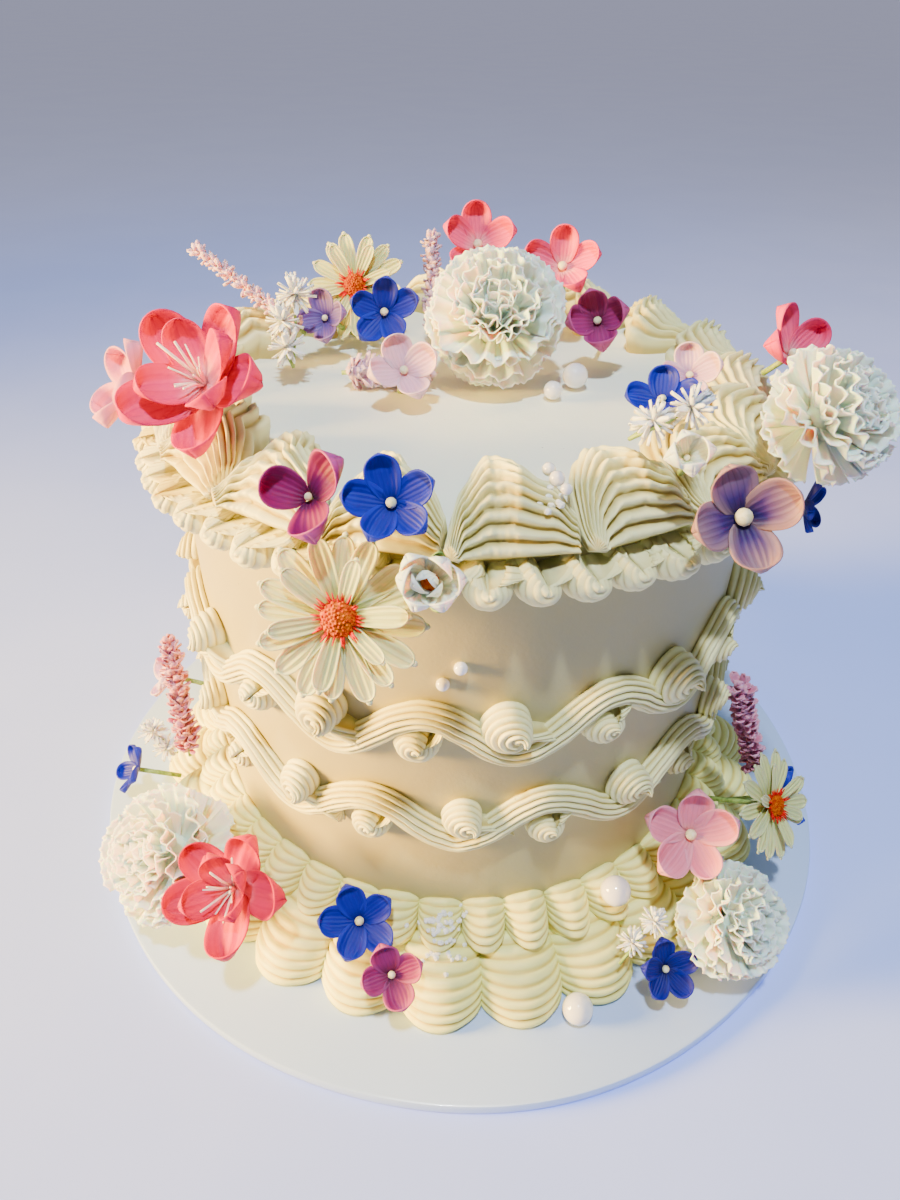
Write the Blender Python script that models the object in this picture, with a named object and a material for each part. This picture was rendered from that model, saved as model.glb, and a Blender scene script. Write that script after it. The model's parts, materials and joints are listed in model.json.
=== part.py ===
# Piped wedding cake on a round board, dressed with artificial blossoms.
# Metres, +Z up. The origin is the middle of the board's underside, on the surface it stands on.
# Angles are in degrees round the cake: 0 is the front (-Y) and positive turns towards +X.

import random
from math import cos, pi, radians, sin, sqrt

import bmesh
import bpy
from mathutils import Matrix, Vector
from mathutils.bvhtree import BVHTree

MM = 0.001
GAP = 0.3 * MM  # clearance kept between pieces that touch

# Board and cake
BOARD_RADIUS = 127 * MM
BOARD_THICKNESS = 4 * MM
BOARD_SIDES = 48
BOARD_WANDER = 0.7 * MM  # the trimmed edge is not a true circle
CAKE_RADIUS = 81 * MM
CAKE_TOP = 150 * MM
CAKE_SIDES = 48

# Large shells round the top edge
TOP_SHELLS = 18
TOP_SHELL_PHASE = -9.0  # degrees, where one shell starts
TOP_SHELL_RIDGES = 6
TOP_SHELL_HEAD = dict(middle=72.5 * MM, half_width=17.0 * MM, height=15.6 * MM)
TOP_SHELL_TAIL = dict(middle=79.0 * MM, half_width=11.0 * MM, height=7.6 * MM)
# share of the shell's length, and how far its section has grown from tail to head there
TOP_SHELL_GROWTH = ((0.0, 0.0), (0.16, 0.8), (0.42, 1.0), (0.74, 0.5))

# Small shells under them, against the top of the wall
TOP_BEADS = 50
TOP_BEAD_MIDDLE = 143.0 * MM
TOP_BEAD_HEIGHT = 6.2 * MM
TOP_BEAD_REACH = 11.6 * MM
BEAD_GROWTH = ((0.0, 0.45), (0.3, 1.0), (0.66, 0.86))

# Two wavy ribbons on the wall with a rosette in each bay
RIBBON_WIDTH = 9.0 * MM
RIBBON_REACH = 6.6 * MM
UPPER_SWAG = dict(waves=11, crest=-7.0, height=95.5 * MM, swing=6.5 * MM, lean=-2.5 * MM)
LOWER_SWAG = dict(waves=11, crest=-17.5, height=64.0 * MM, swing=6.0 * MM, lean=-1.0 * MM)
UPPER_ROSETTES = (dict(turn=-2.0, lift=9.3 * MM, radius=8.0 * MM, reach=11.0 * MM),
                  dict(turn=-1.4, lift=-8.2 * MM, radius=6.6 * MM, reach=9.0 * MM))
LOWER_ROSETTES = (dict(turn=1.4, lift=8.0 * MM, radius=6.8 * MM, reach=8.8 * MM),
                  dict(turn=0.0, lift=-8.6 * MM, radius=6.2 * MM, reach=8.4 * MM))
ROSETTE_SIDES = 6
ROSETTE_STANDOFF = 1.2 * MM  # the rosette starts this far off the wall, inside the ribbon

# Base border: upright ridged shells on the board, with small kisses above them
BASE_SHELLS = 26
BASE_SHELL_PHASE = -3.5
BASE_SHELL_REACH = 27.0 * MM
BASE_SHELL_TOP = 17.0 * MM
BASE_SHELL_SWELL = ((0.0, 0.0), (0.26, 0.86), (0.74, 0.86))
BASE_GROOVE = 6.0 * MM  # how far the groove between two shells goes in
BASE_BEADS = 42
BASE_BEAD_TOP = 31.0 * MM
BASE_BEAD_REACH = 13.6 * MM
BASE_BEAD_GROWTH = ((0.0, 0.5), (0.5, 1.0))

WALL_PEARL = 2.2 * MM  # radius of the small pearls pressed into the wall

FLAT_ENOUGH = radians(4.0)  # faces closer to one plane than this are one face
STEM_RADIUS = 1.5 * MM
BLOSSOM_BACK = -2.0 * MM  # where the stem starts behind the petals
LONGEST_STEM = 60 * MM
SHORTEST_STEM = 0.2 * MM
SPRAY_FOOT_DIP = -40.0  # degrees, how steeply a spray at the side runs in to the icing

ICING = (0.90, 0.84, 0.68)
WHITE_CARD = (0.86, 0.87, 0.92)
CREAM_PETAL = (0.88, 0.87, 0.76)
CORAL = (0.83, 0.16, 0.25)
PINK = (0.86, 0.36, 0.46)
PALE_PINK = (0.87, 0.55, 0.62)
ROSE = (0.60, 0.22, 0.34)
LILAC = (0.68, 0.46, 0.60)
VIOLET = (0.24, 0.17, 0.44)
MAUVE = (0.42, 0.28, 0.46)
MAGENTA = (0.45, 0.10, 0.36)
BURGUNDY = (0.30, 0.04, 0.20)
BLUE = (0.10, 0.17, 0.62)
DEEP_BLUE = (0.02, 0.05, 0.38)
PEARL = (0.88, 0.86, 0.86)

rng = random.Random(11)
placed = []  # surface of every piece that is already in place


def clear_scene():
    for obj in list(bpy.data.objects):
        bpy.data.objects.remove(obj, do_unlink=True)


def material(name, colour, roughness=0.6):
    mat = bpy.data.materials.new(name)
    mat.use_nodes = True
    bsdf = mat.node_tree.nodes["Principled BSDF"]
    bsdf.inputs["Base Color"].default_value = (*colour, 1.0)
    bsdf.inputs["Roughness"].default_value = roughness
    bsdf.inputs["Metallic"].default_value = 0.0
    return mat


def polar(angle, radius, height):
    turn = radians(angle)
    return Vector((radius * sin(turn), -radius * cos(turn), height))


def towards(heading, rise):
    """Direction that looks to a compass heading, tipped up by rise."""
    return polar(heading, cos(radians(rise)), sin(radians(rise)))


def surface_of(obj):
    mesh = obj.data
    points = [obj.matrix_world @ v.co for v in mesh.vertices]
    return BVHTree.FromPolygons(points, [tuple(p.vertices) for p in mesh.polygons])


def add_piece(name, points, faces, colour, roughness=0.6, frame=None):
    mesh = bpy.data.meshes.new(name)
    mesh.from_pydata(points, [], faces)
    bm = bmesh.new()
    bm.from_mesh(mesh)
    bmesh.ops.triangulate(bm, faces=bm.faces)
    bmesh.ops.recalc_face_normals(bm, faces=bm.faces)
    bm.to_mesh(mesh)
    bm.free()
    obj = bpy.data.objects.new(name, mesh)
    bpy.context.scene.collection.objects.link(obj)
    obj.data.materials.append(material(name + "_finish", colour, roughness))
    if frame is not None:
        obj.matrix_world = frame
    bpy.context.view_layer.update()
    return obj


def settle(obj):
    """Counts a finished piece among those that later pieces rest on."""
    placed.append(surface_of(obj))
    return obj


def ring_faces(rings, per_ring, closed):
    """Triangles between neighbouring rings of points, each ring closed on itself."""
    faces = []
    for i in range(rings if closed else rings - 1):
        a, b = i * per_ring, (i + 1) % rings * per_ring
        for j in range(per_ring):
            k = (j + 1) % per_ring
            faces += [(a + j, a + k, b + k), (a + j, b + k, b + j)]
    return faces


def loop_border(sections):
    """Points and faces of a closed border from its sections, one per angle round the cake."""
    points = [p for section in sections for p in section]
    return points, ring_faces(len(sections), len(sections[0]), closed=True)


def pod(rings, first_tip, last_tip):
    """Points and faces of a closed body: rings of points between two tips."""
    per_ring = len(rings[0])
    points = [p for ring in rings for p in ring] + [first_tip, last_tip]
    faces = ring_faces(len(rings), per_ring, closed=False)
    first, last = len(points) - 2, len(points) - 1
    final_ring = (len(rings) - 1) * per_ring
    for j in range(per_ring):
        k = (j + 1) % per_ring
        faces.append((first, k, j))
        faces.append((last, final_ring + j, final_ring + k))
    return points, faces


def clear_of_wall(step):
    """Radius whose chord over one step of angle still clears the round wall."""
    return (CAKE_RADIUS + GAP) / cos(radians(step) / 2)


def blend(low, high, share):
    return low + (high - low) * share


def disc(radii, low, high):
    """A flat round plate with its own radius at each side."""
    sides = len(radii)
    points = []
    for height in (low, high):
        points += [polar(360 * i / sides, r, height) for i, r in enumerate(radii)]
    faces = [tuple(range(sides)), tuple(range(2 * sides - 1, sides - 1, -1))]
    faces += [(i, (i + 1) % sides, sides + (i + 1) % sides, sides + i) for i in range(sides)]
    return points, faces


def make_board():
    radii = []
    for i in range(BOARD_SIDES):
        turn = 2 * pi * i / BOARD_SIDES
        wander = 0.6 * sin(3 * turn + 1.0) + 0.4 * sin(7 * turn)
        radii.append(BOARD_RADIUS + BOARD_WANDER * wander)
    points, faces = disc(radii, 0, BOARD_THICKNESS)
    return settle(add_piece("board", points, faces, WHITE_CARD, 0.35))


def bead(centre, radius, subdivisions=1):
    """A small ball of triangles."""
    bm = bmesh.new()
    place = Matrix.Translation(centre)
    bmesh.ops.create_icosphere(bm, subdivisions=subdivisions, radius=radius, matrix=place)
    points = [v.co.copy() for v in bm.verts]
    faces = [tuple(v.index for v in f.verts) for f in bm.faces]
    bm.free()
    return points, faces


def join_on(obj, bodies):
    """Joins small bodies to a piece with one union, then drops their own objects."""
    helpers = bpy.data.collections.new(obj.name + "_additions")
    bpy.context.scene.collection.children.link(helpers)
    for i, (points, faces) in enumerate(bodies):
        extra = add_piece(f"{obj.name}_addition_{i}", points, faces, ICING)
        bpy.context.scene.collection.objects.unlink(extra)
        helpers.objects.link(extra)
    union = obj.modifiers.new("join", "BOOLEAN")
    union.operation = "UNION"
    union.operand_type = "COLLECTION"
    union.collection = helpers
    union.solver = "MANIFOLD"
    bpy.context.view_layer.update()
    joined = bpy.data.meshes.new_from_object(obj.evaluated_get(bpy.context.evaluated_depsgraph_get()))
    obj.modifiers.remove(union)
    obj.data = joined
    for extra in list(helpers.objects):
        bpy.data.objects.remove(extra, do_unlink=True)
    bpy.data.collections.remove(helpers)
    tidy_union(obj)
    return obj


def tidy_union(obj):
    """Drops loose scraps that a union left beside the piece and merges its flat stretches."""
    bm = bmesh.new()
    bm.from_mesh(obj.data)
    unseen = set(bm.faces)
    bodies = []
    while unseen:
        body, front = set(), [unseen.pop()]
        while front:
            face = front.pop()
            body.add(face)
            for edge in face.edges:
                for other in edge.link_faces:
                    if other in unseen:
                        unseen.discard(other)
                        front.append(other)
        bodies.append(body)
    bodies.sort(key=len)
    for scrap in bodies[:-1]:
        bmesh.ops.delete(bm, geom=list(scrap), context="FACES")
    bmesh.ops.dissolve_limit(bm, angle_limit=FLAT_ENOUGH, verts=bm.verts, edges=bm.edges)
    bmesh.ops.triangulate(bm, faces=bm.faces)
    bm.to_mesh(obj.data)
    bm.free()


def make_cake():
    points, faces = disc([CAKE_RADIUS] * CAKE_SIDES, BOARD_THICKNESS + GAP, CAKE_TOP)
    cake = add_piece("cake_body", points, faces, ICING)
    on_wall = ((0.2, 127 * MM), (4.0, 130.5 * MM))
    out = CAKE_RADIUS + 0.6 * WALL_PEARL
    pearls = [bead(polar(angle, out, height), WALL_PEARL) for angle, height in on_wall]
    return settle(join_on(cake, pearls))


def shell_section(angle, part, size, ridges):
    """Ridged dome over the flat top of the cake, from its outer foot to its inner foot."""
    middle = blend(TOP_SHELL_TAIL["middle"], TOP_SHELL_HEAD["middle"], part)
    half_width = size * blend(TOP_SHELL_TAIL["half_width"], TOP_SHELL_HEAD["half_width"], part)
    height = size * blend(TOP_SHELL_TAIL["height"], TOP_SHELL_HEAD["height"], part)
    groove = blend(0.05, 0.085, part)
    steps = 2 * ridges
    section = []
    for j in range(steps + 1):
        round_dome = pi * j / steps
        swell = 1 + groove * (1 if j % 2 else -1) * (0 < j < steps)
        r = middle + half_width * cos(round_dome) * swell
        z = CAKE_TOP + GAP + height * sin(round_dome) ** 0.8 * swell
        section.append(polar(angle, r, z))
    return section


def make_top_shells():
    sections = []
    pitch = 360 / TOP_SHELLS
    for i in range(TOP_SHELLS):
        size = rng.uniform(0.94, 1.04)
        for along, part in TOP_SHELL_GROWTH:
            angle = TOP_SHELL_PHASE + pitch * (i + along)
            grown = 1 if part == 0 else size
            sections.append(shell_section(angle, part, grown, TOP_SHELL_RIDGES))
    border = add_piece("top_shell_border", *loop_border(sections), ICING)
    pearls = [(13.4, 66, 162.5, 2.3), (15.5, 69, 163.5, 1.7), (11.0, 62, 158.5, 1.7)]
    bodies = [bead(polar(a, r * MM, z * MM), size * MM) for a, r, z, size in pearls]
    return settle(join_on(border, bodies))


def make_top_beads():
    inner = clear_of_wall(120 / TOP_BEADS)
    ceiling = CAKE_TOP
    sections = []
    for i in range(TOP_BEADS):
        size = rng.uniform(0.93, 1.03)
        for along, part in BEAD_GROWTH:
            angle = 360 / TOP_BEADS * (i + along)
            half = TOP_BEAD_HEIGHT * blend(0.55, 1, part) * size
            reach = TOP_BEAD_REACH * blend(0.35, 1, part) * size
            profile = ((inner, 0.95), (inner + 0.72 * reach, 0.8), (inner + reach, 0.0),
                       (inner + 0.66 * reach, -0.85), (inner, -1.0))
            section = [polar(angle, r, min(TOP_BEAD_MIDDLE + half * up, ceiling)) for r, up in profile]
            sections.append(section)
    return settle(add_piece("top_bead_border", *loop_border(sections), ICING))


def swag_height(swag, angle):
    wave = cos(radians(swag["waves"] * (angle - swag["crest"])))
    return swag["height"] + swag["swing"] * wave - swag["lean"] * sin(radians(angle))


def ribbon(swag):
    steps = 4 * swag["waves"]
    inner = clear_of_wall(360 / steps)
    profile = ((0, -0.5), (0.78, -0.44), (1.0, 0.0), (0.78, 0.44), (0, 0.5))
    sections = []
    for i in range(steps):
        angle = swag["crest"] + 360 * i / steps
        swept = radians(swag["waves"] * (angle - swag["crest"]))
        slope = swag["swing"] * swag["waves"] * sin(swept) / (CAKE_RADIUS + RIBBON_REACH)
        width = RIBBON_WIDTH * sqrt(1 + slope * slope)
        middle = swag_height(swag, angle)
        section = [polar(angle, inner + RIBBON_REACH * out, middle + width * up) for out, up in profile]
        sections.append(section)
    return loop_border(sections)


def outward_frame(angle, radius, height):
    """Frame on the wall: local Z points straight out from the cake."""
    out = polar(angle, 1, 0)
    side = Vector((0, 0, 1)).cross(out)
    turn = Matrix((side, out.cross(side), out)).transposed().to_4x4()
    return Matrix.Translation(polar(angle, radius, height)) @ turn


def rosette(angle, height, radius, reach):
    frame = outward_frame(angle, CAKE_RADIUS + ROSETTE_STANDOFF, height)
    twist = rng.uniform(0, 2 * pi)
    rings = []
    for part, out in ((1.0, 0.0), (0.86, 0.62)):
        twist += 0.45
        ring = [Vector((radius * part * cos(twist + 2 * pi * i / ROSETTE_SIDES),
                        radius * part * sin(twist + 2 * pi * i / ROSETTE_SIDES),
                        reach * out)) for i in range(ROSETTE_SIDES)]
        rings.append([frame @ p for p in ring])
    points = rings[0] + rings[1] + [frame @ Vector((0, 0, reach))]
    faces = ring_faces(2, ROSETTE_SIDES, closed=False)
    faces.append(tuple(range(ROSETTE_SIDES)))
    tip = len(points) - 1
    for j in range(ROSETTE_SIDES):
        faces.append((ROSETTE_SIDES + j, ROSETTE_SIDES + (j + 1) % ROSETTE_SIDES, tip))
    return points, faces


def make_swag(name, swag, rosette_kinds):
    obj = add_piece(name, *ribbon(swag), ICING)
    above, below = rosette_kinds
    rosettes = []
    pitch = 360 / swag["waves"]
    for i in range(swag["waves"]):
        crest = swag["crest"] + pitch * i
        for bay, kind in ((crest + pitch / 2, above), (crest, below)):
            angle = bay + kind["turn"]
            height = swag_height(swag, bay) + kind["lift"]
            size = rng.uniform(0.92, 1.05)
            rosettes.append(rosette(angle, height, kind["radius"] * size, kind["reach"] * size))
    return settle(join_on(obj, rosettes))


def make_base_shells():
    inner = clear_of_wall(90 / BASE_SHELLS)
    floor = BOARD_THICKNESS + GAP
    top = BASE_SHELL_TOP - GAP
    sections = []
    for i in range(BASE_SHELLS):
        size = rng.uniform(0.95, 1.04)
        for along, part in BASE_SHELL_SWELL:
            angle = BASE_SHELL_PHASE - 180 / BASE_SHELLS + 360 / BASE_SHELLS * (i + along)
            reach = BASE_SHELL_REACH * size - BASE_GROOVE * (1 - part)
            shoulder = blend(1.0, 4.5, part) * MM
            crown = max(reach - 7.5 * MM, 15.6 * MM)
            section = [
                polar(angle, inner, floor),
                polar(angle, inner + reach - 2.0 * MM, floor),
                polar(angle, inner + reach, floor + 5.0 * MM),
                polar(angle, inner + reach - 2.6 * MM, floor + 11.0 * MM),
                polar(angle, inner + crown, top + shoulder),
                polar(angle, inner + 14.2 * MM, top),
                polar(angle, inner, top),
            ]
            sections.append(section)
    return settle(add_piece("base_shell_border", *loop_border(sections), ICING))


def make_base_beads():
    inner = clear_of_wall(180 / BASE_BEADS)
    low = BASE_SHELL_TOP
    sections = []
    for i in range(BASE_BEADS):
        size = rng.uniform(0.94, 1.04)
        for along, part in BASE_BEAD_GROWTH:
            angle = 360 / BASE_BEADS * (i + along)
            reach = BASE_BEAD_REACH * blend(0.55, 1, part) * size
            rise = (BASE_BEAD_TOP - low) * blend(0.6, 1, part) * size
            section = [
                polar(angle, inner, low),
                polar(angle, inner + min(0.85 * reach, 13.0 * MM), low),
                polar(angle, inner + reach, low + 0.34 * rise),
                polar(angle, inner + 0.6 * reach, low + 0.78 * rise),
                polar(angle, inner, low + rise),
            ]
            sections.append(section)
    return settle(add_piece("base_bead_border", *loop_border(sections), ICING))


def add_pearl(name, angle, radius, height, size, subdivisions=2):
    """A loose sugar pearl, by the place of its middle and its own radius in millimetres."""
    middle = polar(angle, radius * MM, height * MM)
    return settle(add_piece(name, *bead(middle, size * MM, subdivisions), PEARL, 0.25))


def make_pearls():
    add_pearl("top_pearl_large", 98, 31, 154.0, 3.6)
    add_pearl("top_pearl_small", 80, 24, 153.0, 2.6, subdivisions=1)
    add_pearl("base_pearl_front", 18.0, 107.5, 8.8, 4.4)
    add_pearl("base_pearl_right", 29.0, 91.5, 32.4, 4.4)


def facing_frame(at, facing, spin=0.0):
    """Frame of a blossom: its middle at a place round the cake, local Z looking out of its face."""
    look = towards(*facing)
    side = Vector((0, 0, 1)).cross(look).normalized()
    turn = Matrix((side, look.cross(side), look)).transposed().to_4x4()
    centre = polar(at[0], at[1] * MM, at[2] * MM)
    return Matrix.Translation(centre) @ turn @ Matrix.Rotation(radians(spin), 4, "Z")


def stem_length(frame, start, along, across):
    """Length of a stem that runs along a direction down to the piece that carries it."""
    found = []
    for turn in range(6):
        edge = Vector((across * cos(turn * pi / 3), across * sin(turn * pi / 3), start))
        origin = frame @ edge
        hits = [surface.ray_cast(origin, along, LONGEST_STEM)[3] for surface in placed]
        found += [hit for hit in hits if hit is not None]
    if not found:
        raise ValueError("a stem reaches nothing")
    return max(min(found) - GAP, SHORTEST_STEM)


def stem_end(frame, start):
    """End of the straight stem behind a blossom, in the blossom's frame."""
    back = -(frame.to_3x3() @ Vector((0, 0, 1)))
    return Vector((0, 0, start - stem_length(frame, start, back, STEM_RADIUS)))


def spray_foot(frame, root):
    """End of a spray's stalk: straight down on the top, in and down to the icing at the side."""
    if root[1] * MM < CAKE_RADIUS:
        along = Vector((0, 0, -1))
    else:
        along = towards(root[0] + 180, SPRAY_FOOT_DIP)
    reach = stem_length(frame, 0.0, along, 0.5 * STEM_RADIUS)
    return frame.to_3x3().inverted() @ (along * reach)


def blossom_rings(petals, radius, cup, throat, wave=0.1, per_petal=3):
    """Throat, rim and stem rings of a flat blossom. Each petal is a notch and its broad end."""
    ends = {2: ((0.0, 0.5), (0.5, 1.0)), 3: ((0.0, 0.46), (0.3, 0.97), (0.7, 1.0))}[per_petal]
    inner, rim, back = [], [], []
    for i in range(petals):
        lift = rng.uniform(-wave, wave) * radius
        for share, out in ends:
            turn = 2 * pi * (i + share) / petals
            ray = Vector((cos(turn), sin(turn), 0))
            inner.append(ray * throat)
            height = cup * radius * out * out + (lift if out > 0.6 else 0)
            rim.append(ray * radius * out + Vector((0, 0, height)))
            back.append(ray * STEM_RADIUS + Vector((0, 0, BLOSSOM_BACK)))
    return inner, rim, back


def add_blossom(name, colour, at, facing, across, petals=5, cup=0.3, spin=0, heart=0.8, per_petal=3):
    """A small silk blossom of broad petals on a short stem."""
    frame = facing_frame(at, facing, spin)
    radius = across * MM / 2
    rings = blossom_rings(petals, radius, cup, throat=0.16 * radius, per_petal=per_petal)
    tip = Vector((0, 0, heart * MM))
    points, faces = pod(list(rings), tip, stem_end(frame, BLOSSOM_BACK))
    return settle(add_piece(name, points, faces, colour, 0.5, frame))


def add_daisy(name, at, facing, across, petals=14, spin=0, per_petal=2):
    """Long narrow petals round a raised middle."""
    frame = facing_frame(at, facing, spin)
    radius = across * MM / 2
    inner, rim, back = blossom_rings(petals, radius, 0.1, 0.22 * radius, 0.06, per_petal)
    points, faces = pod([inner, rim, back], Vector((0, 0, 0.16 * radius)), stem_end(frame, BLOSSOM_BACK))
    return settle(add_piece(name, points, faces, CREAM_PETAL, 0.5, frame))


def add_carnation(name, at, facing, across, sides=12):
    """A crumpled dome of petals that narrows to a calyx behind."""
    frame = facing_frame(at, facing)
    radius = across * MM / 2
    outline = ((0.42, 0.62), (0.8, 0.42), (1.0, 0.05), (0.62, -0.32), (0.16, -0.5))
    rings = []
    for n, (out, up) in enumerate(outline):
        ruffle = (0.0, 0.1, 0.07, 0.05, 0.0)[n]
        ring = []
        for i in range(sides):
            turn = 2 * pi * i / sides
            swell = 1 + ruffle * (1 if (i + n) % 2 else -1) + rng.uniform(-0.03, 0.03)
            ring.append(Vector((cos(turn) * out * swell, sin(turn) * out * swell, up * swell)) * radius)
        rings.append(ring)
    points, faces = pod(rings, Vector((0, 0, 0.56 * radius)), stem_end(frame, -0.5 * radius))
    return settle(add_piece(name, points, faces, CREAM_PETAL, 0.7, frame))


def add_spray(name, colour, root, tip, thick, swellings, sides=6, slim=0.55, taper=0.5):
    """A stalk of blossoms from its root to its tip, swelling at each cluster."""
    start = polar(root[0], root[1] * MM, root[2] * MM)
    end = polar(tip[0], tip[1] * MM, tip[2] * MM)
    look = end - start
    length = look.length
    side = Vector((0, 0, 1)).cross(look).normalized()
    turn = Matrix((side, look.normalized().cross(side), look.normalized())).transposed().to_4x4()
    frame = Matrix.Translation(start) @ turn
    steps = 2 * swellings
    rings = []
    for n in range(steps):
        share = (n + 0.5) / steps
        thin = 1 - taper * share
        radius = thick * MM / 2 * thin * (1.0 if n % 2 else slim)
        twist = 0.5 * n
        ring = []
        for i in range(sides):
            around = twist + 2 * pi * i / sides
            ring.append(Vector((radius * cos(around), radius * sin(around), length * share)))
        rings.append(ring)
    points, faces = pod(rings, spray_foot(frame, root), Vector((0, 0, length)))
    return settle(add_piece(name, points, faces, colour, 0.7, frame))


def dress_top_front():
    add_blossom("top_blue_blossom_front", BLUE, (-10, 92, 165), (0, 40), 19, spin=14)
    add_blossom("top_magenta_blossom_front", MAGENTA, (-21, 91, 163), (-15, 40), 18, petals=4, cup=0.5)
    add_blossom("top_white_bud_front", CREAM_PETAL, (-5, 97, 151), (2, 35), 15, petals=5, cup=0.6)
    add_daisy("top_daisy_front", (-16, 98, 140), (-6, 28), 39, per_petal=3)


def dress_top_left():
    add_blossom("top_pale_pink_blossom_left", PALE_PINK, (-74, 89, 160), (-70, 30), 26, cup=0.4)
    add_blossom("top_pink_freesia_left", PINK, (-52, 77, 171), (-15, 45), 36, petals=6, cup=0.55)


def dress_top_back():
    add_spray("top_pink_sprig_left", PALE_PINK, (-109, 52, 162), (-114, 90, 180), 7, 4, sides=5)
    add_spray("top_white_puffs_left", WHITE_CARD, (-95, 50, 158), (-102, 52, 178), 10, 3, taper=0.2)
    add_spray("top_lilac_sprig_low", LILAC, (-94, 34, 155), (-104, 12, 156.5), 8, 4, sides=5)
    add_daisy("top_daisy_back", (-139, 53, 168), (-10, 30), 34, petals=13)
    add_blossom("top_violet_blossom_back", VIOLET, (-120, 49, 163), (-20, 30), 16, petals=4)
    add_blossom("top_blue_blossom_back", BLUE, (-136, 36, 164.5), (0, 30), 21)
    add_blossom("top_pale_pink_blossom_back", PALE_PINK, (-62, 20, 160), (10, 45), 20, petals=4)
    add_spray("top_lilac_sprig_back", LILAC, (-163, 35, 156), (-167, 52, 181), 8, 4, sides=5)
    add_blossom("top_coral_blossom_back", CORAL, (177, 62, 175), (0, 40), 26, cup=0.4)
    add_blossom("top_coral_blossom_back_right", CORAL, (147, 54, 173), (-10, 40), 24, cup=0.4)
    add_blossom("top_burgundy_blossom_back", BURGUNDY, (116, 42, 165), (-15, 35), 20, petals=4, cup=0.4)
    add_carnation("top_white_carnation_back", (137, 11, 168), (0, 45), 40)


def dress_top_right():
    add_blossom("top_lilac_blossom_right", LILAC, (60, 62, 168), (-20, 50), 16, petals=4)
    add_blossom("top_hot_pink_blossom_right", CORAL, (77, 84, 169), (40, 45), 24, cup=0.4)
    add_blossom("top_blue_blossom_inner_right", BLUE, (41, 66, 169.5), (-30, 65), 16, petals=4)
    add_blossom("top_cream_blossom_right", CREAM_PETAL, (31, 86, 167), (-10, 45), 12, petals=4, cup=0.5)
    add_blossom("top_blue_blossom_right", DEEP_BLUE, (55, 97, 146), (60, 5), 13)
    add_blossom("top_mauve_pansy_right", MAUVE, (34, 99, 158), (5, 30), 23, petals=4, cup=0.2)
    add_carnation("top_white_carnation_right", (57, 95, 166), (48, 38), 33)
    add_spray("top_white_puffs_right", WHITE_CARD, (27, 77, 170), (37, 81, 176), 9, 2, taper=0.0)


def dress_base_left():
    add_spray("base_rose_sprig_left", ROSE, (-72, 95, 36), (-77, 95, 76), 10, 5, sides=5)
    add_blossom("base_lilac_blossom_left", LILAC, (-84, 99, 52), (-80, 25), 18, petals=4)
    add_spray("base_white_puffs_left", WHITE_CARD, (-77, 101, 30), (-76, 107, 43), 10, 2, taper=0.0)
    add_blossom("base_blue_blossom_left", BLUE, (-77, 114, 23), (-70, 30), 18)
    add_carnation("base_white_carnation_left", (-52, 109, 30), (-48, 42), 42)
    add_blossom("base_pink_freesia_left", CORAL, (-37, 106, 38), (-15, 45), 34, petals=6, cup=0.5)


def dress_base_front():
    add_blossom("base_blue_blossom_front", BLUE, (-17.5, 95, 32), (0, 50), 22, spin=20)
    add_blossom("base_burgundy_blossom_front", MAGENTA, (-10.5, 104.5, 25.5), (0, 50), 18, petals=4)


def dress_base_right():
    add_spray("base_rose_sprig_right", ROSE, (65, 101, 45), (57, 92, 86), 10, 5, sides=5)
    add_blossom("base_blue_blossom_right", BLUE, (70, 112, 28), (75, 25), 20)
    add_daisy("base_daisy_right", (60, 109, 41), (46, 32), 35, petals=13)
    add_blossom("base_pink_blossom_right", PALE_PINK, (42, 97, 48), (-5, 42), 27, cup=0.35)
    add_spray("base_white_puffs_right", WHITE_CARD, (26, 105, 22), (33, 103, 35), 9, 2, taper=0.0)
    add_blossom("base_deep_blue_blossom_right", DEEP_BLUE, (31.5, 111, 17), (15, 45), 18)
    add_carnation("base_white_carnation_right", (43, 113, 24), (36, 38), 34)


def dress_base_back():
    add_spray("base_rose_sprig_back", ROSE, (172, 94, 34), (167, 93, 74), 10, 5, sides=5)
    add_daisy("base_daisy_back", (-172, 104, 36), (-175, 35), 34, petals=13)
    add_blossom("base_pink_blossom_back", PINK, (146, 102, 32), (148, 45), 28, cup=0.4)
    add_blossom("base_blue_blossom_back", BLUE, (-156, 108, 26), (-158, 45), 20)
    add_carnation("base_white_carnation_back", (164, 108, 28), (164, 42), 40)


clear_scene()
make_board()
make_cake()
make_top_shells()
make_top_beads()
make_swag("upper_swag", UPPER_SWAG, UPPER_ROSETTES)
make_swag("lower_swag", LOWER_SWAG, LOWER_ROSETTES)
make_base_shells()
make_base_beads()
make_pearls()
dress_top_front()
dress_top_left()
dress_top_back()
dress_top_right()
dress_base_left()
dress_base_front()
dress_base_right()
dress_base_back()
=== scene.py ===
import json
import random
from math import cos, floor, pi, radians, sin, sqrt

import bmesh
import bpy
from mathutils import Matrix, Vector, noise
from mathutils.bvhtree import BVHTree

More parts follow.
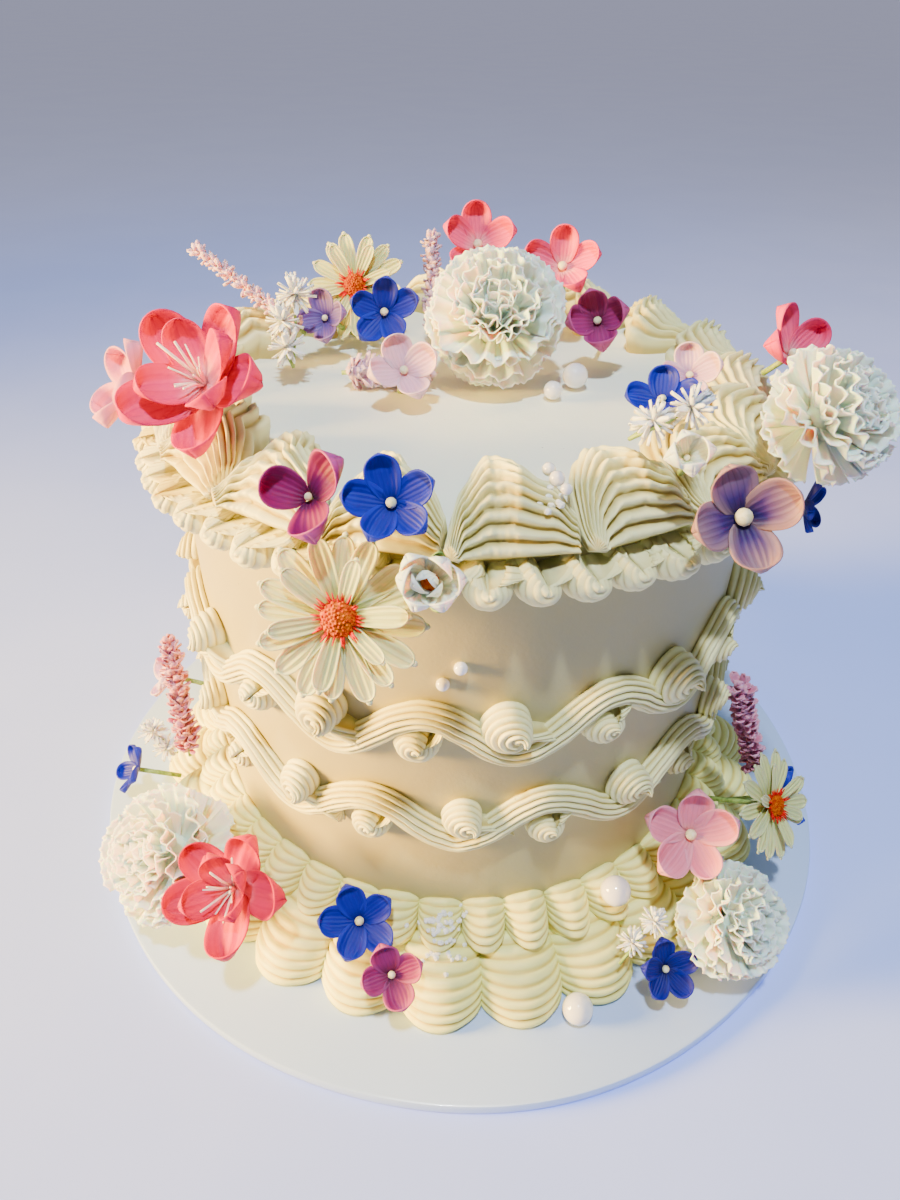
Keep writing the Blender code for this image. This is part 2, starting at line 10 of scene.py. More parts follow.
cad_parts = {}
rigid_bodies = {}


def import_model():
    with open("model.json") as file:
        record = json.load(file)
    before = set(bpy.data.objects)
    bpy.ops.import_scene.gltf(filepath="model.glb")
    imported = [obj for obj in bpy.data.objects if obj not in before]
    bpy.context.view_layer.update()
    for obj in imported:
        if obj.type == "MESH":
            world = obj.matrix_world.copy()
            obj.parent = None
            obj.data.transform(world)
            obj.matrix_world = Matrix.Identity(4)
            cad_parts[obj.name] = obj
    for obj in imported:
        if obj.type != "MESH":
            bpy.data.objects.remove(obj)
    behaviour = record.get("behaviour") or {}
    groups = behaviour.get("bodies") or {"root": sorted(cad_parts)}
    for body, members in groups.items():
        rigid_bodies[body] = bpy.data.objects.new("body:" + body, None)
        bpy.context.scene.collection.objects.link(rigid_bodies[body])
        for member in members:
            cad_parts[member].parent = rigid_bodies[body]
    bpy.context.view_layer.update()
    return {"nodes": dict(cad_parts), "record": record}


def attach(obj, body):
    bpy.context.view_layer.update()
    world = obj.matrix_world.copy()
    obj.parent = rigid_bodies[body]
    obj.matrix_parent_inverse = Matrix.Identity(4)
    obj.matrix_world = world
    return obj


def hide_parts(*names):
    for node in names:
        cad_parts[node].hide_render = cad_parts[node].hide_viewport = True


# Piped wedding cake on a board, dressed with artificial blossoms. Metres, front is -Y.
# Angles are degrees round the cake: 0 is the front and positive turns towards +X.
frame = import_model()
mm = 0.001


def linkObject(name, mesh):
    obj = bpy.data.objects.new(name, mesh)
    bpy.context.scene.collection.objects.link(obj)
    return obj


def polar(angle, radius, height):
    turn = radians(angle)
    return Vector((radius * sin(turn), -radius * cos(turn), height))


def meshFrom(name, points, faces, smooth=True):
    mesh = bpy.data.meshes.new(name)
    mesh.from_pydata([tuple(p) for p in points], [], faces)
    work = bmesh.new()
    work.from_mesh(mesh)
    bmesh.ops.remove_doubles(work, verts=work.verts, dist=0.000002)
    bmesh.ops.recalc_face_normals(work, faces=work.faces)
    work.to_mesh(mesh)
    work.free()
    mesh.polygons.foreach_set("use_smooth", [smooth] * len(mesh.polygons))
    return mesh


# faces of a skin over rings of the same number of points, ring after ring
def ringFaces(rings, sides):
    faces = []
    for row in range(rings - 1):
        for j in range(sides):
            k = (j + 1) % sides
            low, high = row * sides, (row + 1) * sides
            faces.append((low + j, low + k, high + k, high + j))
    return faces


# a value inside a node tree; sums of such values add the Math nodes that work them out
class flowValue:
    def __init__(self, tree, socket):
        self.tree = tree
        self.socket = socket

    def __add__(self, other):
        return calc(self.tree, "ADD", self, other)

    def __sub__(self, other):
        return calc(self.tree, "SUBTRACT", self, other)

    def __rsub__(self, other):
        return calc(self.tree, "SUBTRACT", other, self)

    def __mul__(self, other):
        return calc(self.tree, "MULTIPLY", self, other)

    def __truediv__(self, other):
        return calc(self.tree, "DIVIDE", self, other)


# node trees: small helpers shared by the Geometry Nodes and the materials
def feed(tree, socket, value):
    if isinstance(value, flowValue):
        tree.links.new(value.socket, socket)
    elif value is not None:
        socket.default_value = value


def addNode(tree, kind, inputs=None, **settings):
    made = tree.nodes.new(kind)
    for key, value in settings.items():
        setattr(made, key, value)
    for key, value in (inputs or {}).items():
        feed(tree, made.inputs[key], value)
    return made


def nodeFlow(tree, kind, inputs=None, output=0, **settings):
    return flowValue(tree, addNode(tree, kind, inputs, **settings).outputs[output])


def calc(tree, operation, a, b=None, c=None):
    return nodeFlow(tree, "ShaderNodeMath", {0: a, 1: b, 2: c}, operation=operation)


def vector(tree, x, y, z):
    return nodeFlow(tree, "ShaderNodeCombineXYZ", {0: x, 1: y, 2: z})


def split(tree, value):
    made = addNode(tree, "ShaderNodeSeparateXYZ", {0: value})
    return [flowValue(tree, socket) for socket in made.outputs]


# a random number for each point, whole or not
def randomFlow(tree, low, high, seed, whole=False):
    first, output = (4, 2) if whole else (2, 1)
    return nodeFlow(tree, "FunctionNodeRandomValue", {first: low, first + 1: high, 8: seed}, output,
                    data_type="INT" if whole else "FLOAT")


def newTree(name, sockets):
    tree = bpy.data.node_groups.new(name, "GeometryNodeTree")
    for label, kind, value in sockets:
        made = tree.interface.new_socket(label, in_out="INPUT", socket_type="NodeSocket" + kind)
        if value is not None:
            made.default_value = value
    tree.interface.new_socket("Geometry", in_out="OUTPUT", socket_type="NodeSocketGeometry")
    source = tree.nodes.new("NodeGroupInput").outputs
    return tree, {label: flowValue(tree, source[label]) for label, kind, value in sockets}


# the end that every tree shares
def closeTree(tree, geometry, finish):
    realized = nodeFlow(tree, "GeometryNodeRealizeInstances", {0: geometry})
    smooth = nodeFlow(tree, "GeometryNodeSetShadeSmooth", {0: realized})
    painted = nodeFlow(tree, "GeometryNodeSetMaterial", {0: smooth, "Material": finish})
    feed(tree, tree.nodes.new("NodeGroupOutput").inputs[0], painted)


# runs a tree on an empty mesh and keeps its result as a plain mesh
def growPiece(name, tree, values):
    obj = linkObject(name, bpy.data.meshes.new(name))
    modifier = obj.modifiers.new(tree.name, "NODES")
    modifier.node_group = tree
    keys = {item.name: item.identifier for item in tree.interface.items_tree
            if item.item_type == "SOCKET" and item.in_out == "INPUT"}
    for label, value in values.items():
        modifier[keys[label]] = value
    bpy.context.view_layer.update()
    graph = bpy.context.evaluated_depsgraph_get()
    made = bpy.data.meshes.new_from_object(obj.evaluated_get(graph), depsgraph=graph)
    obj.modifiers.clear()
    obj.data = made
    made.name = name
    return obj


def finishPiece(obj, slot, *nodes):
    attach(obj, "root")
    if nodes:
        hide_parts(*nodes)
    return obj


# shader groups shared by the materials
def shaderGroup(name, inputs, outputs):
    tree = bpy.data.node_groups.new(name, "ShaderNodeTree")
    for label, kind, value in inputs:
        made = tree.interface.new_socket(label, in_out="INPUT", socket_type="NodeSocket" + kind)
        made.default_value = value
    for label, kind in outputs:
        tree.interface.new_socket(label, in_out="OUTPUT", socket_type="NodeSocket" + kind)
    source = tree.nodes.new("NodeGroupInput").outputs
    given = {label: flowValue(tree, source[label]) for label, kind, value in inputs}
    return tree, given, tree.nodes.new("NodeGroupOutput").inputs


def objectPlace(tree):
    return nodeFlow(tree, "ShaderNodeTexCoord", output="Object")


def noiseOn(tree, place, scale, detail=3.0):
    return nodeFlow(tree, "ShaderNodeTexNoise",
                    {"Vector": place, "Scale": scale, "Detail": detail, "Roughness": 0.55})


def mixColour(tree, share, first, second, blend="MIX"):
    return nodeFlow(tree, "ShaderNodeMix", {0: share, 6: first, 7: second}, 2, data_type="RGBA",
                    blend_type=blend)


# darkens or lightens a colour by a value
def shadeColour(tree, colour, value):
    grey = nodeFlow(tree, "ShaderNodeCombineColor", {0: value, 1: value, 2: value})
    return mixColour(tree, 1.0, colour, grey, "MULTIPLY")


def ramp(tree, value, low, high):
    return nodeFlow(tree, "ShaderNodeMapRange", {0: value, 1: low, 2: high, 3: 0.0, 4: 1.0},
                    interpolation_type="SMOOTHSTEP")


# whipped butter: soft mottling, smears and a few trapped specks
def buildIcingGrain():
    tree, given, out = shaderGroup(
        "icingGrain",
        [("Smear", "Float", 60.0), ("Grain", "Float", 900.0), ("Specks", "Float", 0.35)],
        [("Mottle", "Float"), ("Height", "Float"), ("Speck", "Float")])
    place = objectPlace(tree)
    smear = noiseOn(tree, place, given["Smear"], 4.0)
    grain = noiseOn(tree, place, given["Grain"], 2.0)
    dots = nodeFlow(tree, "ShaderNodeTexVoronoi", {"Vector": place, "Scale": 260.0}, "Distance")
    rare = noiseOn(tree, place, 45.0, 1.0)
    feed(tree, out["Mottle"], smear)
    feed(tree, out["Speck"], ramp(tree, dots, 0.09, 0.05) * ramp(tree, rare, 0.62, 0.7) * given["Specks"])
    feed(tree, out["Height"], smear + grain * 0.25)
    return tree


# woven cloth with veins that run along a petal, read from the petal's own map
def buildPetalWeave():
    tree, given, out = shaderGroup(
        "petalWeave",
        [("Root", "Color", (1, 1, 1, 1)), ("Body", "Color", (1, 1, 1, 1)), ("Edge", "Color", (1, 1, 1, 1)),
         ("Root End", "Float", 0.3), ("Edge Start", "Float", 0.7), ("Veins", "Float", 0.3),
         ("Vein Count", "Float", 7.0)],
        [("Colour", "Color"), ("Height", "Float")])
    across, along, _ = split(tree, nodeFlow(tree, "ShaderNodeUVMap", uv_map="petalMap"))
    place = objectPlace(tree)
    wander = noiseOn(tree, place, 120.0) * 0.9
    wave = calc(tree, "SINE", (across + wander * 0.12) * (given["Vein Count"] * (2 * pi)))
    vein = ramp(tree, wave, 0.55, 1.0) * given["Veins"]
    mottle = noiseOn(tree, place, 260.0, 4.0)
    fromRoot = ramp(tree, (along + (mottle - 0.5) * 0.25) / given["Root End"], 0.0, 1.0)
    side = calc(tree, "ABSOLUTE", across * 2.0 - 1.0)
    rim = calc(tree, "MAXIMUM", along, side * 0.96)
    toEdge = calc(tree, "SMOOTH_MAX", rim - given["Edge Start"], 0.0, 0.02) / (1.02 - given["Edge Start"])
    colour = mixColour(tree, fromRoot, given["Root"], given["Body"])
    colour = mixColour(tree, toEdge, colour, given["Edge"])
    feed(tree, out["Colour"], shadeColour(tree, colour, 1.06 - (vein + mottle * 0.14)))
    feed(tree, out["Height"], wave * 0.5 + noiseOn(tree, place, 1800.0, 1.0) * 0.4)
    return tree


icingGrain = buildIcingGrain()
petalWeave = buildPetalWeave()


def newFinish(name, colour, roughness, **sockets):
    made = bpy.data.materials.new(name)
    made.use_nodes = True
    tree = made.node_tree
    shader = tree.nodes["Principled BSDF"]
    shader.inputs["Base Color"].default_value = (*colour, 1.0)
    shader.inputs["Roughness"].default_value = roughness
    for label, value in sockets.items():
        shader.inputs[label.replace("_", " ")].default_value = value
    return made, tree, shader


def addBump(tree, shader, height, strength, distance):
    bump = nodeFlow(tree, "ShaderNodeBump", {"Height": height, "Strength": strength, "Distance": distance})
    feed(tree, shader.inputs["Normal"], bump)


# buttercream, with painted shade in the grooves: the colour is darker and warmer there than on the ridges
def icingFinish(name, ridge, groove, depth=1.0, specks=0.35, marks=None):
    made, tree, shader = newFinish(name, ridge, 0.5, Subsurface_Weight=0.1, Subsurface_Scale=0.0015)
    shader.inputs["Subsurface Radius"].default_value = (1.0, 0.62, 0.3)
    grain = addNode(tree, "ShaderNodeGroup", node_tree=icingGrain)
    grain.inputs["Specks"].default_value = specks
    mottle, height, speck = (flowValue(tree, socket) for socket in grain.outputs)
    cut = nodeFlow(tree, "ShaderNodeAttribute", output="Fac", attribute_name="groove")
    # painted shade: the groove colour is mixed in where the groove mask is high
    colour = mixColour(tree, ramp(tree, cut, 0.15, 1.0) * depth, (*ridge, 1.0), (*groove, 1.0))
    colour = shadeColour(tree, colour, mottle * 0.1 + 0.95)
    if marks:
        colour = marks(tree, colour)
    colour = mixColour(tree, speck, colour, (0.12, 0.10, 0.08, 1.0))
    feed(tree, shader.inputs["Base Color"], colour)
    feed(tree, shader.inputs["Roughness"], mottle * 0.28 + 0.36)
    addBump(tree, shader, height, 0.35, 0.0006)
    return made


# petals: colour runs from the root through the body to the edge
def petalFinish(name, root, body, edge, rootEnd=0.3, edgeStart=0.7, veins=0.25, veinCount=7.0,
                roughness=0.55):
    made, tree, shader = newFinish(name, body, roughness, Sheen_Weight=0.04, Subsurface_Weight=0.15,
                                   Subsurface_Scale=0.002, Specular_IOR_Level=0.25)
    weave = addNode(tree, "ShaderNodeGroup", node_tree=petalWeave)
    values = ((*root, 1.0), (*body, 1.0), (*edge, 1.0), rootEnd, edgeStart, veins, veinCount)
    for socket, value in zip(weave.inputs, values):
        socket.default_value = value
    colour, height = (flowValue(tree, socket) for socket in weave.outputs)
    feed(tree, shader.inputs["Base Color"], colour)
    addBump(tree, shader, height, 0.3, 0.0004)
    return made


# moulded or dyed small things: stems, eyes, stamens, with mottled colour
def dyedFinish(name, dark, light, roughness=0.5, scale=700.0, bump=0.3, **sockets):
    made, tree, shader = newFinish(name, light, roughness, **sockets)
    patch = noiseOn(tree, objectPlace(tree), scale)
    colour = mixColour(tree, ramp(tree, patch, 0.35, 0.65), (*dark, 1.0), (*light, 1.0))
    feed(tree, shader.inputs["Base Color"], colour)
    addBump(tree, shader, patch, bump, 0.0003)
    return made


# the ridge colours are the icing's own; the groove colours are painted shade; the wall colour is darkened as
# painted shade and the top colour is made paler as painted light
icingSet = {"ridge": (0.82, 0.80, 0.42), "groove": (0.50, 0.40, 0.11), "baseRidge": (0.93, 0.92, 0.34),
            "baseGroove": (0.68, 0.54, 0.10), "wall": (0.47, 0.42, 0.19), "top": (0.84, 0.90, 0.80),
            "topFrom": 149.2 * mm}
shellIcing = icingFinish("shellIcing", icingSet["ridge"], icingSet["groove"])
baseIcing = icingFinish("baseIcing", icingSet["baseRidge"], icingSet["baseGroove"])
print("shared finishes are built")


# outline of a stroke's section: lean 1 brings its crest towards +side,
# and crown 1 keeps it high on the other side
def sectionAt(around, half, tall, lean, crown):
    widest = pi * (1 - crown / 2)
    turn = around * widest / pi
    span = 2 / (1 - cos(widest))
    reach = (1 - lean) * (span * (cos(turn) - cos(widest)) - 1) + lean * (2 * cos(turn / 2) - 1)
    slope = (1 - lean) * span * sin(turn) + lean * sin(turn / 2)
    normal = Vector((tall * cos(turn), 0, half * slope + 0.000001))
    return half * reach, tall * sin(turn) ** 0.9, normal.normalized()


# one stroke of a star tip: a ridged rope along stations of (middle, side, up, depth of groove, crown);
# skew over 1 makes each ridge steeper away from +side, and gather over 1 crowds the ridges there
def ridgedRope(name, stations, ridges, perRidge=7, sharp=0.7, sink=0.4 * mm, rough=0.2 * mm, lean=0.0,
               stray=0.0, fade=0.0, skew=1.0, gather=1.0):
    across = ridges * perRidge
    points, cuts = [], []
    for row, (middle, side, up, depth, crown) in enumerate(stations):
        half, tall = side.length, up.length
        sideways, upward = side.normalized(), up.normalized()
        deep = min(depth, 0.3 * min(half, tall))
        for column in range(across + 1):
            around = pi * (column / across) ** (1 / gather)
            shift = stray * noise.noise(Vector((0.16 * row, 0.5 * column / perRidge, 3.1 * ridges)))
            place = column / perRidge + shift * sin(around) / pi
            ridge = abs(sin(pi * (place - floor(place)) ** skew)) ** sharp
            reach, height, normal = sectionAt(around, half, tall, lean, crown)
            weak = 1 - fade * (0.5 - 0.5 * cos(around))
            grain = noise.noise(Vector((0.35 * row, 0.3 * column, 7.3 * ridges)))
            push = rough * grain - deep * weak * (1 - ridge)
            points.append(middle + sideways * (reach + normal.x * push) + upward * (height + normal.z * push))
            cuts.append((1 - ridge) * weak)
        under = upward * -sink
        points += [middle - side * 0.8 + under, middle + side * 0.8 + under]
        cuts += [0.0, 0.0]
    ring = across + 3
    faces = ringFaces(len(stations), ring)
    for row in (0, len(stations) - 1):
        rim = list(range(row * ring, (row + 1) * ring))
        points.append(stations[row][0])
        cuts.append(0.5)
        for j in range(ring):
            faces.append((rim[j], rim[(j + 1) % ring], len(points) - 1))
    mesh = bpy.data.meshes.new(name)
    mesh.from_pydata([tuple(p) for p in points], [], faces)
    stored = mesh.attributes.new("groove", "FLOAT", "POINT")
    stored.data.foreach_set("value", cuts)
    work = bmesh.new()
    work.from_mesh(mesh)
    bmesh.ops.recalc_face_normals(work, faces=work.faces)
    work.to_mesh(mesh)
    work.free()
    return mesh


def ease(share):
    return share * share * (3 - 2 * share)


plainCurl = {"hollow": (0.0, 0.0), "crown": 0.0, "open": ((0.0, 1.0), (1.0, 1.0))}


# a stroke that curls round an eye and then pulls away into a tail; every length is in metres
def curledStroke(plane, curl, vary):
    shape = dict(plainCurl, **curl)

    # a pair of lengths in the stroke's plane, as a vector
    def onPlane(pair):
        return plane[0] * pair[0] + plane[1] * pair[1]

    out = plane[2]
    stations = []
    for i in range(shape["turnSteps"] + 1):
        share = i / shape["turnSteps"]
        turn = radians(shape["start"] + shape["sweep"] * share)
        opened = vary * blendLine(shape["open"], share)
        edge = onPlane(shape["centre"]) + onPlane((cos(turn) * shape["radii"][0] * opened,
                                                   sin(turn) * shape["radii"][1] * opened))
        inner = onPlane(shape["eye"]) + onPlane((shape["hollow"][0] * cos(turn),
                                                 shape["hollow"][1] * sin(turn)))
        reach = edge - inner
        rise = blendLine(shape["rise"], share) * shape["height"] * vary
        stations.append((inner + reach * 0.5, reach * 0.5, out * rise, shape["cut"], shape["crown"]))
    last, side, up, cut, crown = stations[-1]
    tailMiddle = onPlane(shape["tail"])
    tailSide = onPlane(shape["tailSide"])
    for i in range(1, shape["tailSteps"] + 1):
        share = i / shape["tailSteps"]
        soft = ease(share)
        drift = onPlane((shape["tail"][0], last.dot(plane[1])))
        middle = last.lerp(drift, share).lerp(tailMiddle, soft)
        rise = blendLine(shape["fall"], share) * shape["height"] * vary
        stations.append((middle, side.lerp(tailSide, soft), out * rise, cut * (1 - 0.35 * soft),
                         crown * (1 - soft)))
    return stations


def blendLine(marks, share):
    for (a, low), (b, high) in zip(marks, marks[1:]):
        if share <= b:
            return low + (high - low) * ease((share - a) / (b - a))
    return marks[-1][1]


# pieces laid side by side in a strip, then wrapped round the cake
def buildBorderTree():
    tree, given = newTree("wrappedBorder", [
        ("Pieces", "Collection", None), ("Kinds", "Int", 3), ("Shuffle", "Int", 1), ("Count", "Int", 18),
        ("Radius", "Float", 0.09), ("Height", "Float", 0.0), ("Phase", "Float", 0.0), ("Lean", "Float", 0.0),
        ("Size Low", "Float", 0.95), ("Size High", "Float", 1.05), ("Sway", "Float", 0.04),
        ("Seed", "Int", 1), ("Finish", "Material", None)])
    pitch = given["Radius"] * (2 * pi) / given["Count"]
    index = nodeFlow(tree, "GeometryNodeInputIndex")
    points = nodeFlow(tree, "GeometryNodePoints", {"Count": given["Count"]})
    row = nodeFlow(tree, "GeometryNodeSetPosition",
                   {0: points, "Position": vector(tree, index * pitch, 0.0, 0.0)})
    pick = randomFlow(tree, 0, given["Kinds"] - 1.0, given["Seed"], whole=True)
    size = randomFlow(tree, given["Size Low"], given["Size High"], given["Seed"] + 1.0)
    sway = randomFlow(tree, given["Sway"] * -1.0, given["Sway"], given["Seed"] + 2.0)
    pieces = nodeFlow(tree, "GeometryNodeCollectionInfo", {0: given["Pieces"], 1: True, 2: True})
    grown = nodeFlow(tree, "GeometryNodeInstanceOnPoints", {
        "Points": row, "Instance": pieces, "Pick Instance": True,
        "Instance Index": index + pick * given["Shuffle"], "Rotation": vector(tree, 0.0, sway, 0.0),
        "Scale": vector(tree, 1.0, size, size)})
    flat = nodeFlow(tree, "GeometryNodeRealizeInstances", {0: grown})
    along, inward, up = split(tree, nodeFlow(tree, "GeometryNodeInputPosition"))
    turn = along / given["Radius"] + given["Phase"]
    sine, cosine = calc(tree, "SINE", turn), calc(tree, "COSINE", turn)
    out = given["Radius"] - inward
    height = up + given["Height"] - given["Lean"] * sine
    wrapped = nodeFlow(tree, "GeometryNodeSetPosition", {
        0: flat, "Position": vector(tree, out * sine, out * cosine * -1.0, height)})
    closeTree(tree, wrapped, given["Finish"])
    return tree


# a ribbed ribbon that waves round the wall
def buildRibbonTree():
    tree, given = newTree("wavyRibbon", [
        ("Waves", "Int", 11), ("Crest", "Float", 0.0), ("Height", "Float", 0.1), ("Swing", "Float", 0.007),
        ("Lean", "Float", 0.004), ("Radius", "Float", 0.081), ("Half Width", "Float", 0.0055),
        ("Reach", "Float", 0.0076), ("Ridges", "Int", 12), ("Cut", "Float", 0.2), ("Steps", "Int", 264),
        ("Rough", "Float", 0.0007), ("Finish", "Material", None)])
    line = nodeFlow(tree, "GeometryNodeCurvePrimitiveCircle", {"Resolution": given["Steps"]})
    index = nodeFlow(tree, "GeometryNodeInputIndex")
    turn = index * (2 * pi) / given["Steps"]
    wave = calc(tree, "COSINE", given["Waves"] * (turn - given["Crest"]))
    sine, cosine = calc(tree, "SINE", turn), calc(tree, "COSINE", turn)
    wander = nodeFlow(tree, "ShaderNodeTexNoise", {"Scale": 9.0, "Detail": 1.0,
                                                   "Vector": vector(tree, sine, cosine, 0.0)})
    height = given["Height"] + given["Swing"] * wave - given["Lean"] * sine + (wander - 0.5) * 0.0016
    place = vector(tree, given["Radius"] * sine, given["Radius"] * cosine * -1.0, height)
    path = nodeFlow(tree, "GeometryNodeSetPosition", {0: line, "Position": place})
    path = nodeFlow(tree, "GeometryNodeSetCurveNormal", {0: path}, mode="Z_UP")
    count = given["Ridges"] * 8.0
    around = index * (2 * pi) / count
    sine, cosine = calc(tree, "SINE", around), calc(tree, "COSINE", around)
    ripple = calc(tree, "SINE", around * (given["Ridges"] * 0.5))
    groove = 1.0 - calc(tree, "POWER", calc(tree, "ABSOLUTE", ripple), 0.75)
    scale = 1.0 - given["Cut"] * groove
    place = vector(tree, given["Reach"] * sine * scale, given["Half Width"] * cosine * scale, 0.0)
    section = nodeFlow(tree, "GeometryNodeCurvePrimitiveCircle", {"Resolution": count})
    section = nodeFlow(tree, "GeometryNodeSetPosition", {0: section, "Position": place})
    section = nodeFlow(tree, "GeometryNodeStoreNamedAttribute",
                       {0: section, "Name": "groove", "Value": groove}, data_type="FLOAT", domain="POINT")
    swept = nodeFlow(tree, "GeometryNodeCurveToMesh", {"Curve": path, "Profile Curve": section})
    tear = nodeFlow(tree, "ShaderNodeTexNoise", {"Scale": 210.0, "Detail": 2.0}, 1)
    push = nodeFlow(tree, "ShaderNodeVectorMath", {0: tear, 1: (0.5, 0.5, 0.5)}, operation="SUBTRACT")
    push = nodeFlow(tree, "ShaderNodeVectorMath", {0: push, "Scale": given["Rough"]}, operation="SCALE")
    closeTree(tree, nodeFlow(tree, "GeometryNodeSetPosition", {0: swept, "Offset": push}), given["Finish"])
    return tree


borderTree = buildBorderTree()
ribbonTree = buildRibbonTree()


# a border of a few slightly different strokes, set side by side and wrapped round the cake
def pipeBorder(name, strokes, ridges, values, **rope):
    kinds = bpy.data.collections.new(f"{name}Kind")
    for number, stations in enumerate(strokes):
        mesh = ridgedRope(f"{name}Kind{number}", stations, ridges, **rope)
        kinds.objects.link(bpy.data.objects.new(f"{name}Kind{number}", mesh))
    piece = growPiece(name, borderTree, {"Pieces": kinds, "Kinds": len(strokes), **values})
    for obj in list(kinds.objects):
        bpy.data.objects.remove(obj)
    bpy.data.collections.remove(kinds)
    return piece


onTop = (Vector((1, 0, 0)), Vector((0, 1, 0)), Vector((0, 0, 1)))    # along, inward, up
onWall = (Vector((1, 0, 0)), Vector((0, 0, 1)), Vector((0, -1, 0)))  # along, up the wall, out of it


# kinds, in millimetres: the crest along the row, the spread to its left, the tail off the foot and its end;
# the last number is a factor on its size
topShellSet = {
    "count": 18, "phase": -9.0, "foot": 87.6 * mm, "base": 149.6 * mm, "ridges": 10,
    "hollow": (7.0 * mm, 1.0 * mm), "reach": 29.0 * mm, "sweep": (176.0, 46.0), "height": 15.4 * mm,
    "cut": 2.3 * mm, "rise": ((0.0, 0.22), (0.3, 0.60), (0.65, 0.95), (1.0, 1.0)),
    "fall": ((0.0, 1.0), (0.35, 0.80), (0.7, 0.46), (1.0, 0.24)), "turnSteps": 38, "tailSteps": 16,
    "kinds": ((18.5, 11.0, 4.5, 38.0, 1.0), (20.0, 12.5, 6.0, 38.0, 0.95), (19.5, 11, 5, 38, 1.0),
              (19, 11.5, 4.5, 38, 1.02), (20, 12, 5.5, 38.5, 0.97), (19.5, 11, 5, 38, 1.0),
              (20, 12, 5.5, 38, 0.98), (19.5, 11.5, 5, 38, 1.0), (19.5, 11, 5, 38, 1.0))}


def makeTopShells():
    settings = topShellSet
    strokes = []
    first, last = settings["sweep"]
    for crest, spread, tail, end, size in settings["kinds"]:
        shape = dict(settings, eye=(crest * mm, 0.0), centre=(crest * mm, 0.0),
                     radii=(spread * mm, settings["reach"]), start=first, sweep=last - first,
                     tail=(end * mm, tail * mm), tailSide=(0.8 * mm, 0.84 * tail * mm))
        strokes.append(curledStroke(onTop, shape, size))
    piece = pipeBorder("topShells", strokes, settings["ridges"], {
        "Shuffle": 0, "Count": settings["count"], "Radius": settings["foot"], "Height": settings["base"],
        "Phase": radians(settings["phase"]), "Size Low": 0.95, "Size High": 1.02, "Sway": 0.0, "Seed": 4,
        "Finish": shellIcing}, lean=0.6, stray=0.6, rough=0.5 * mm, skew=1.5, sharp=0.95, gather=1.5)
    finishPiece(piece, "icing", "top_shell_border")


topBeadSet = {
    "count": 50, "wall": 81.0 * mm, "middle": 142.9 * mm, "ridges": 6, "kinds": 5, "crown": 0.85,
    "eye": (0.3 * mm, 2.2 * mm), "centre": (0.0, 0.0), "radii": (5.7 * mm, 6.1 * mm),
    "start": 130.0, "sweep": 262.0, "height": 12.4 * mm, "cut": 1.2 * mm,
    "rise": ((0.0, 0.84), (0.35, 0.98), (0.8, 1.0), (1.0, 0.84)),
    "fall": ((0.0, 0.84), (0.7, 0.52), (1.0, 0.42)), "tail": (9.6 * mm, 2.8 * mm),
    "tailSide": (0.6 * mm, -2.2 * mm), "turnSteps": 24, "tailSteps": 6}


def makeTopBeads():
    settings = topBeadSet
    draw = random.Random(8)
    strokes = []
    for _ in range(settings["kinds"]):
        shape = dict(settings)
        shape["start"] = settings["start"] + draw.uniform(-25, 15)
        shape["eye"] = (settings["eye"][0] + draw.uniform(-0.8, 0.8) * mm, settings["eye"][1])
        strokes.append(curledStroke(onWall, shape, draw.uniform(0.94, 1.05)))
    piece = pipeBorder("topBeads", strokes, settings["ridges"], {
        "Count": settings["count"], "Radius": settings["wall"], "Height": settings["middle"], "Phase": 0.04,
        "Size Low": 0.93, "Size High": 1.02, "Sway": 0.12, "Seed": 9, "Finish": shellIcing},
        stray=0.4, fade=0.5, skew=0.75)
    finishPiece(piece, "icing", "top_bead_border")


swagSets = {
    "upper_swag": {
        "waves": 11, "crest": -7.0, "height": 95.5 * mm, "swing": 6.5 * mm, "lean": -2.5 * mm,
        "trough": {"turn": -2.0, "lift": 9.3 * mm, "size": 1.0},
        "hanging": {"turn": -1.4, "lift": -8.2 * mm, "size": 1.0}},
    "lower_swag": {
        "waves": 11, "crest": -17.5, "height": 64.0 * mm, "swing": 6.0 * mm, "lean": -1.0 * mm,
        "trough": {"turn": 1.4, "lift": 8.0 * mm, "size": 0.86},
        "hanging": {"turn": 0.0, "lift": -8.6 * mm, "size": 0.94}}}
ribbonSet = {"halfWidth": 4.3 * mm, "reach": 5.4 * mm, "ridges": 16, "cut": 0.22, "steps": 330,
             "wall": 81.0 * mm}
troughCurl = {
    "ridges": 7, "kinds": 4, "crown": 0.86, "height": 9.6 * mm, "cut": 1.3 * mm,
    "eye": (1.6 * mm, 0.2 * mm), "centre": (0.0, 0.0), "radii": (7.8 * mm, 8.2 * mm), "start": -30.0,
    "sweep": 345.0, "open": ((0.0, 0.62), (0.4, 0.98), (1.0, 1.0)),
    "rise": ((0.0, 1.12), (0.3, 1.0), (0.8, 0.86), (1.0, 0.68)), "fall": ((0.0, 0.68), (1.0, 0.46)),
    "tail": (12.0 * mm, -6.5 * mm), "tailSide": (1.0 * mm, -2.6 * mm), "turnSteps": 32, "tailSteps": 7}
crestCurl = {
    "ridges": 6, "kinds": 4, "crown": 0.86, "height": 8.4 * mm, "cut": 1.1 * mm,
    "eye": (1.0 * mm, 0.6 * mm), "centre": (0.0, 0.0), "radii": (6.3 * mm, 6.6 * mm), "start": 60.0,
    "sweep": 345.0, "open": ((0.0, 0.62), (0.4, 0.98), (1.0, 1.0)),
    "rise": ((0.0, 1.1), (0.3, 1.0), (0.8, 0.9), (1.0, 0.8)), "fall": ((0.0, 0.8), (1.0, 0.55)),
    "tail": (6.5 * mm, 5.0 * mm), "tailSide": (1.8 * mm, 1.6 * mm), "turnSteps": 24, "tailSteps": 5}


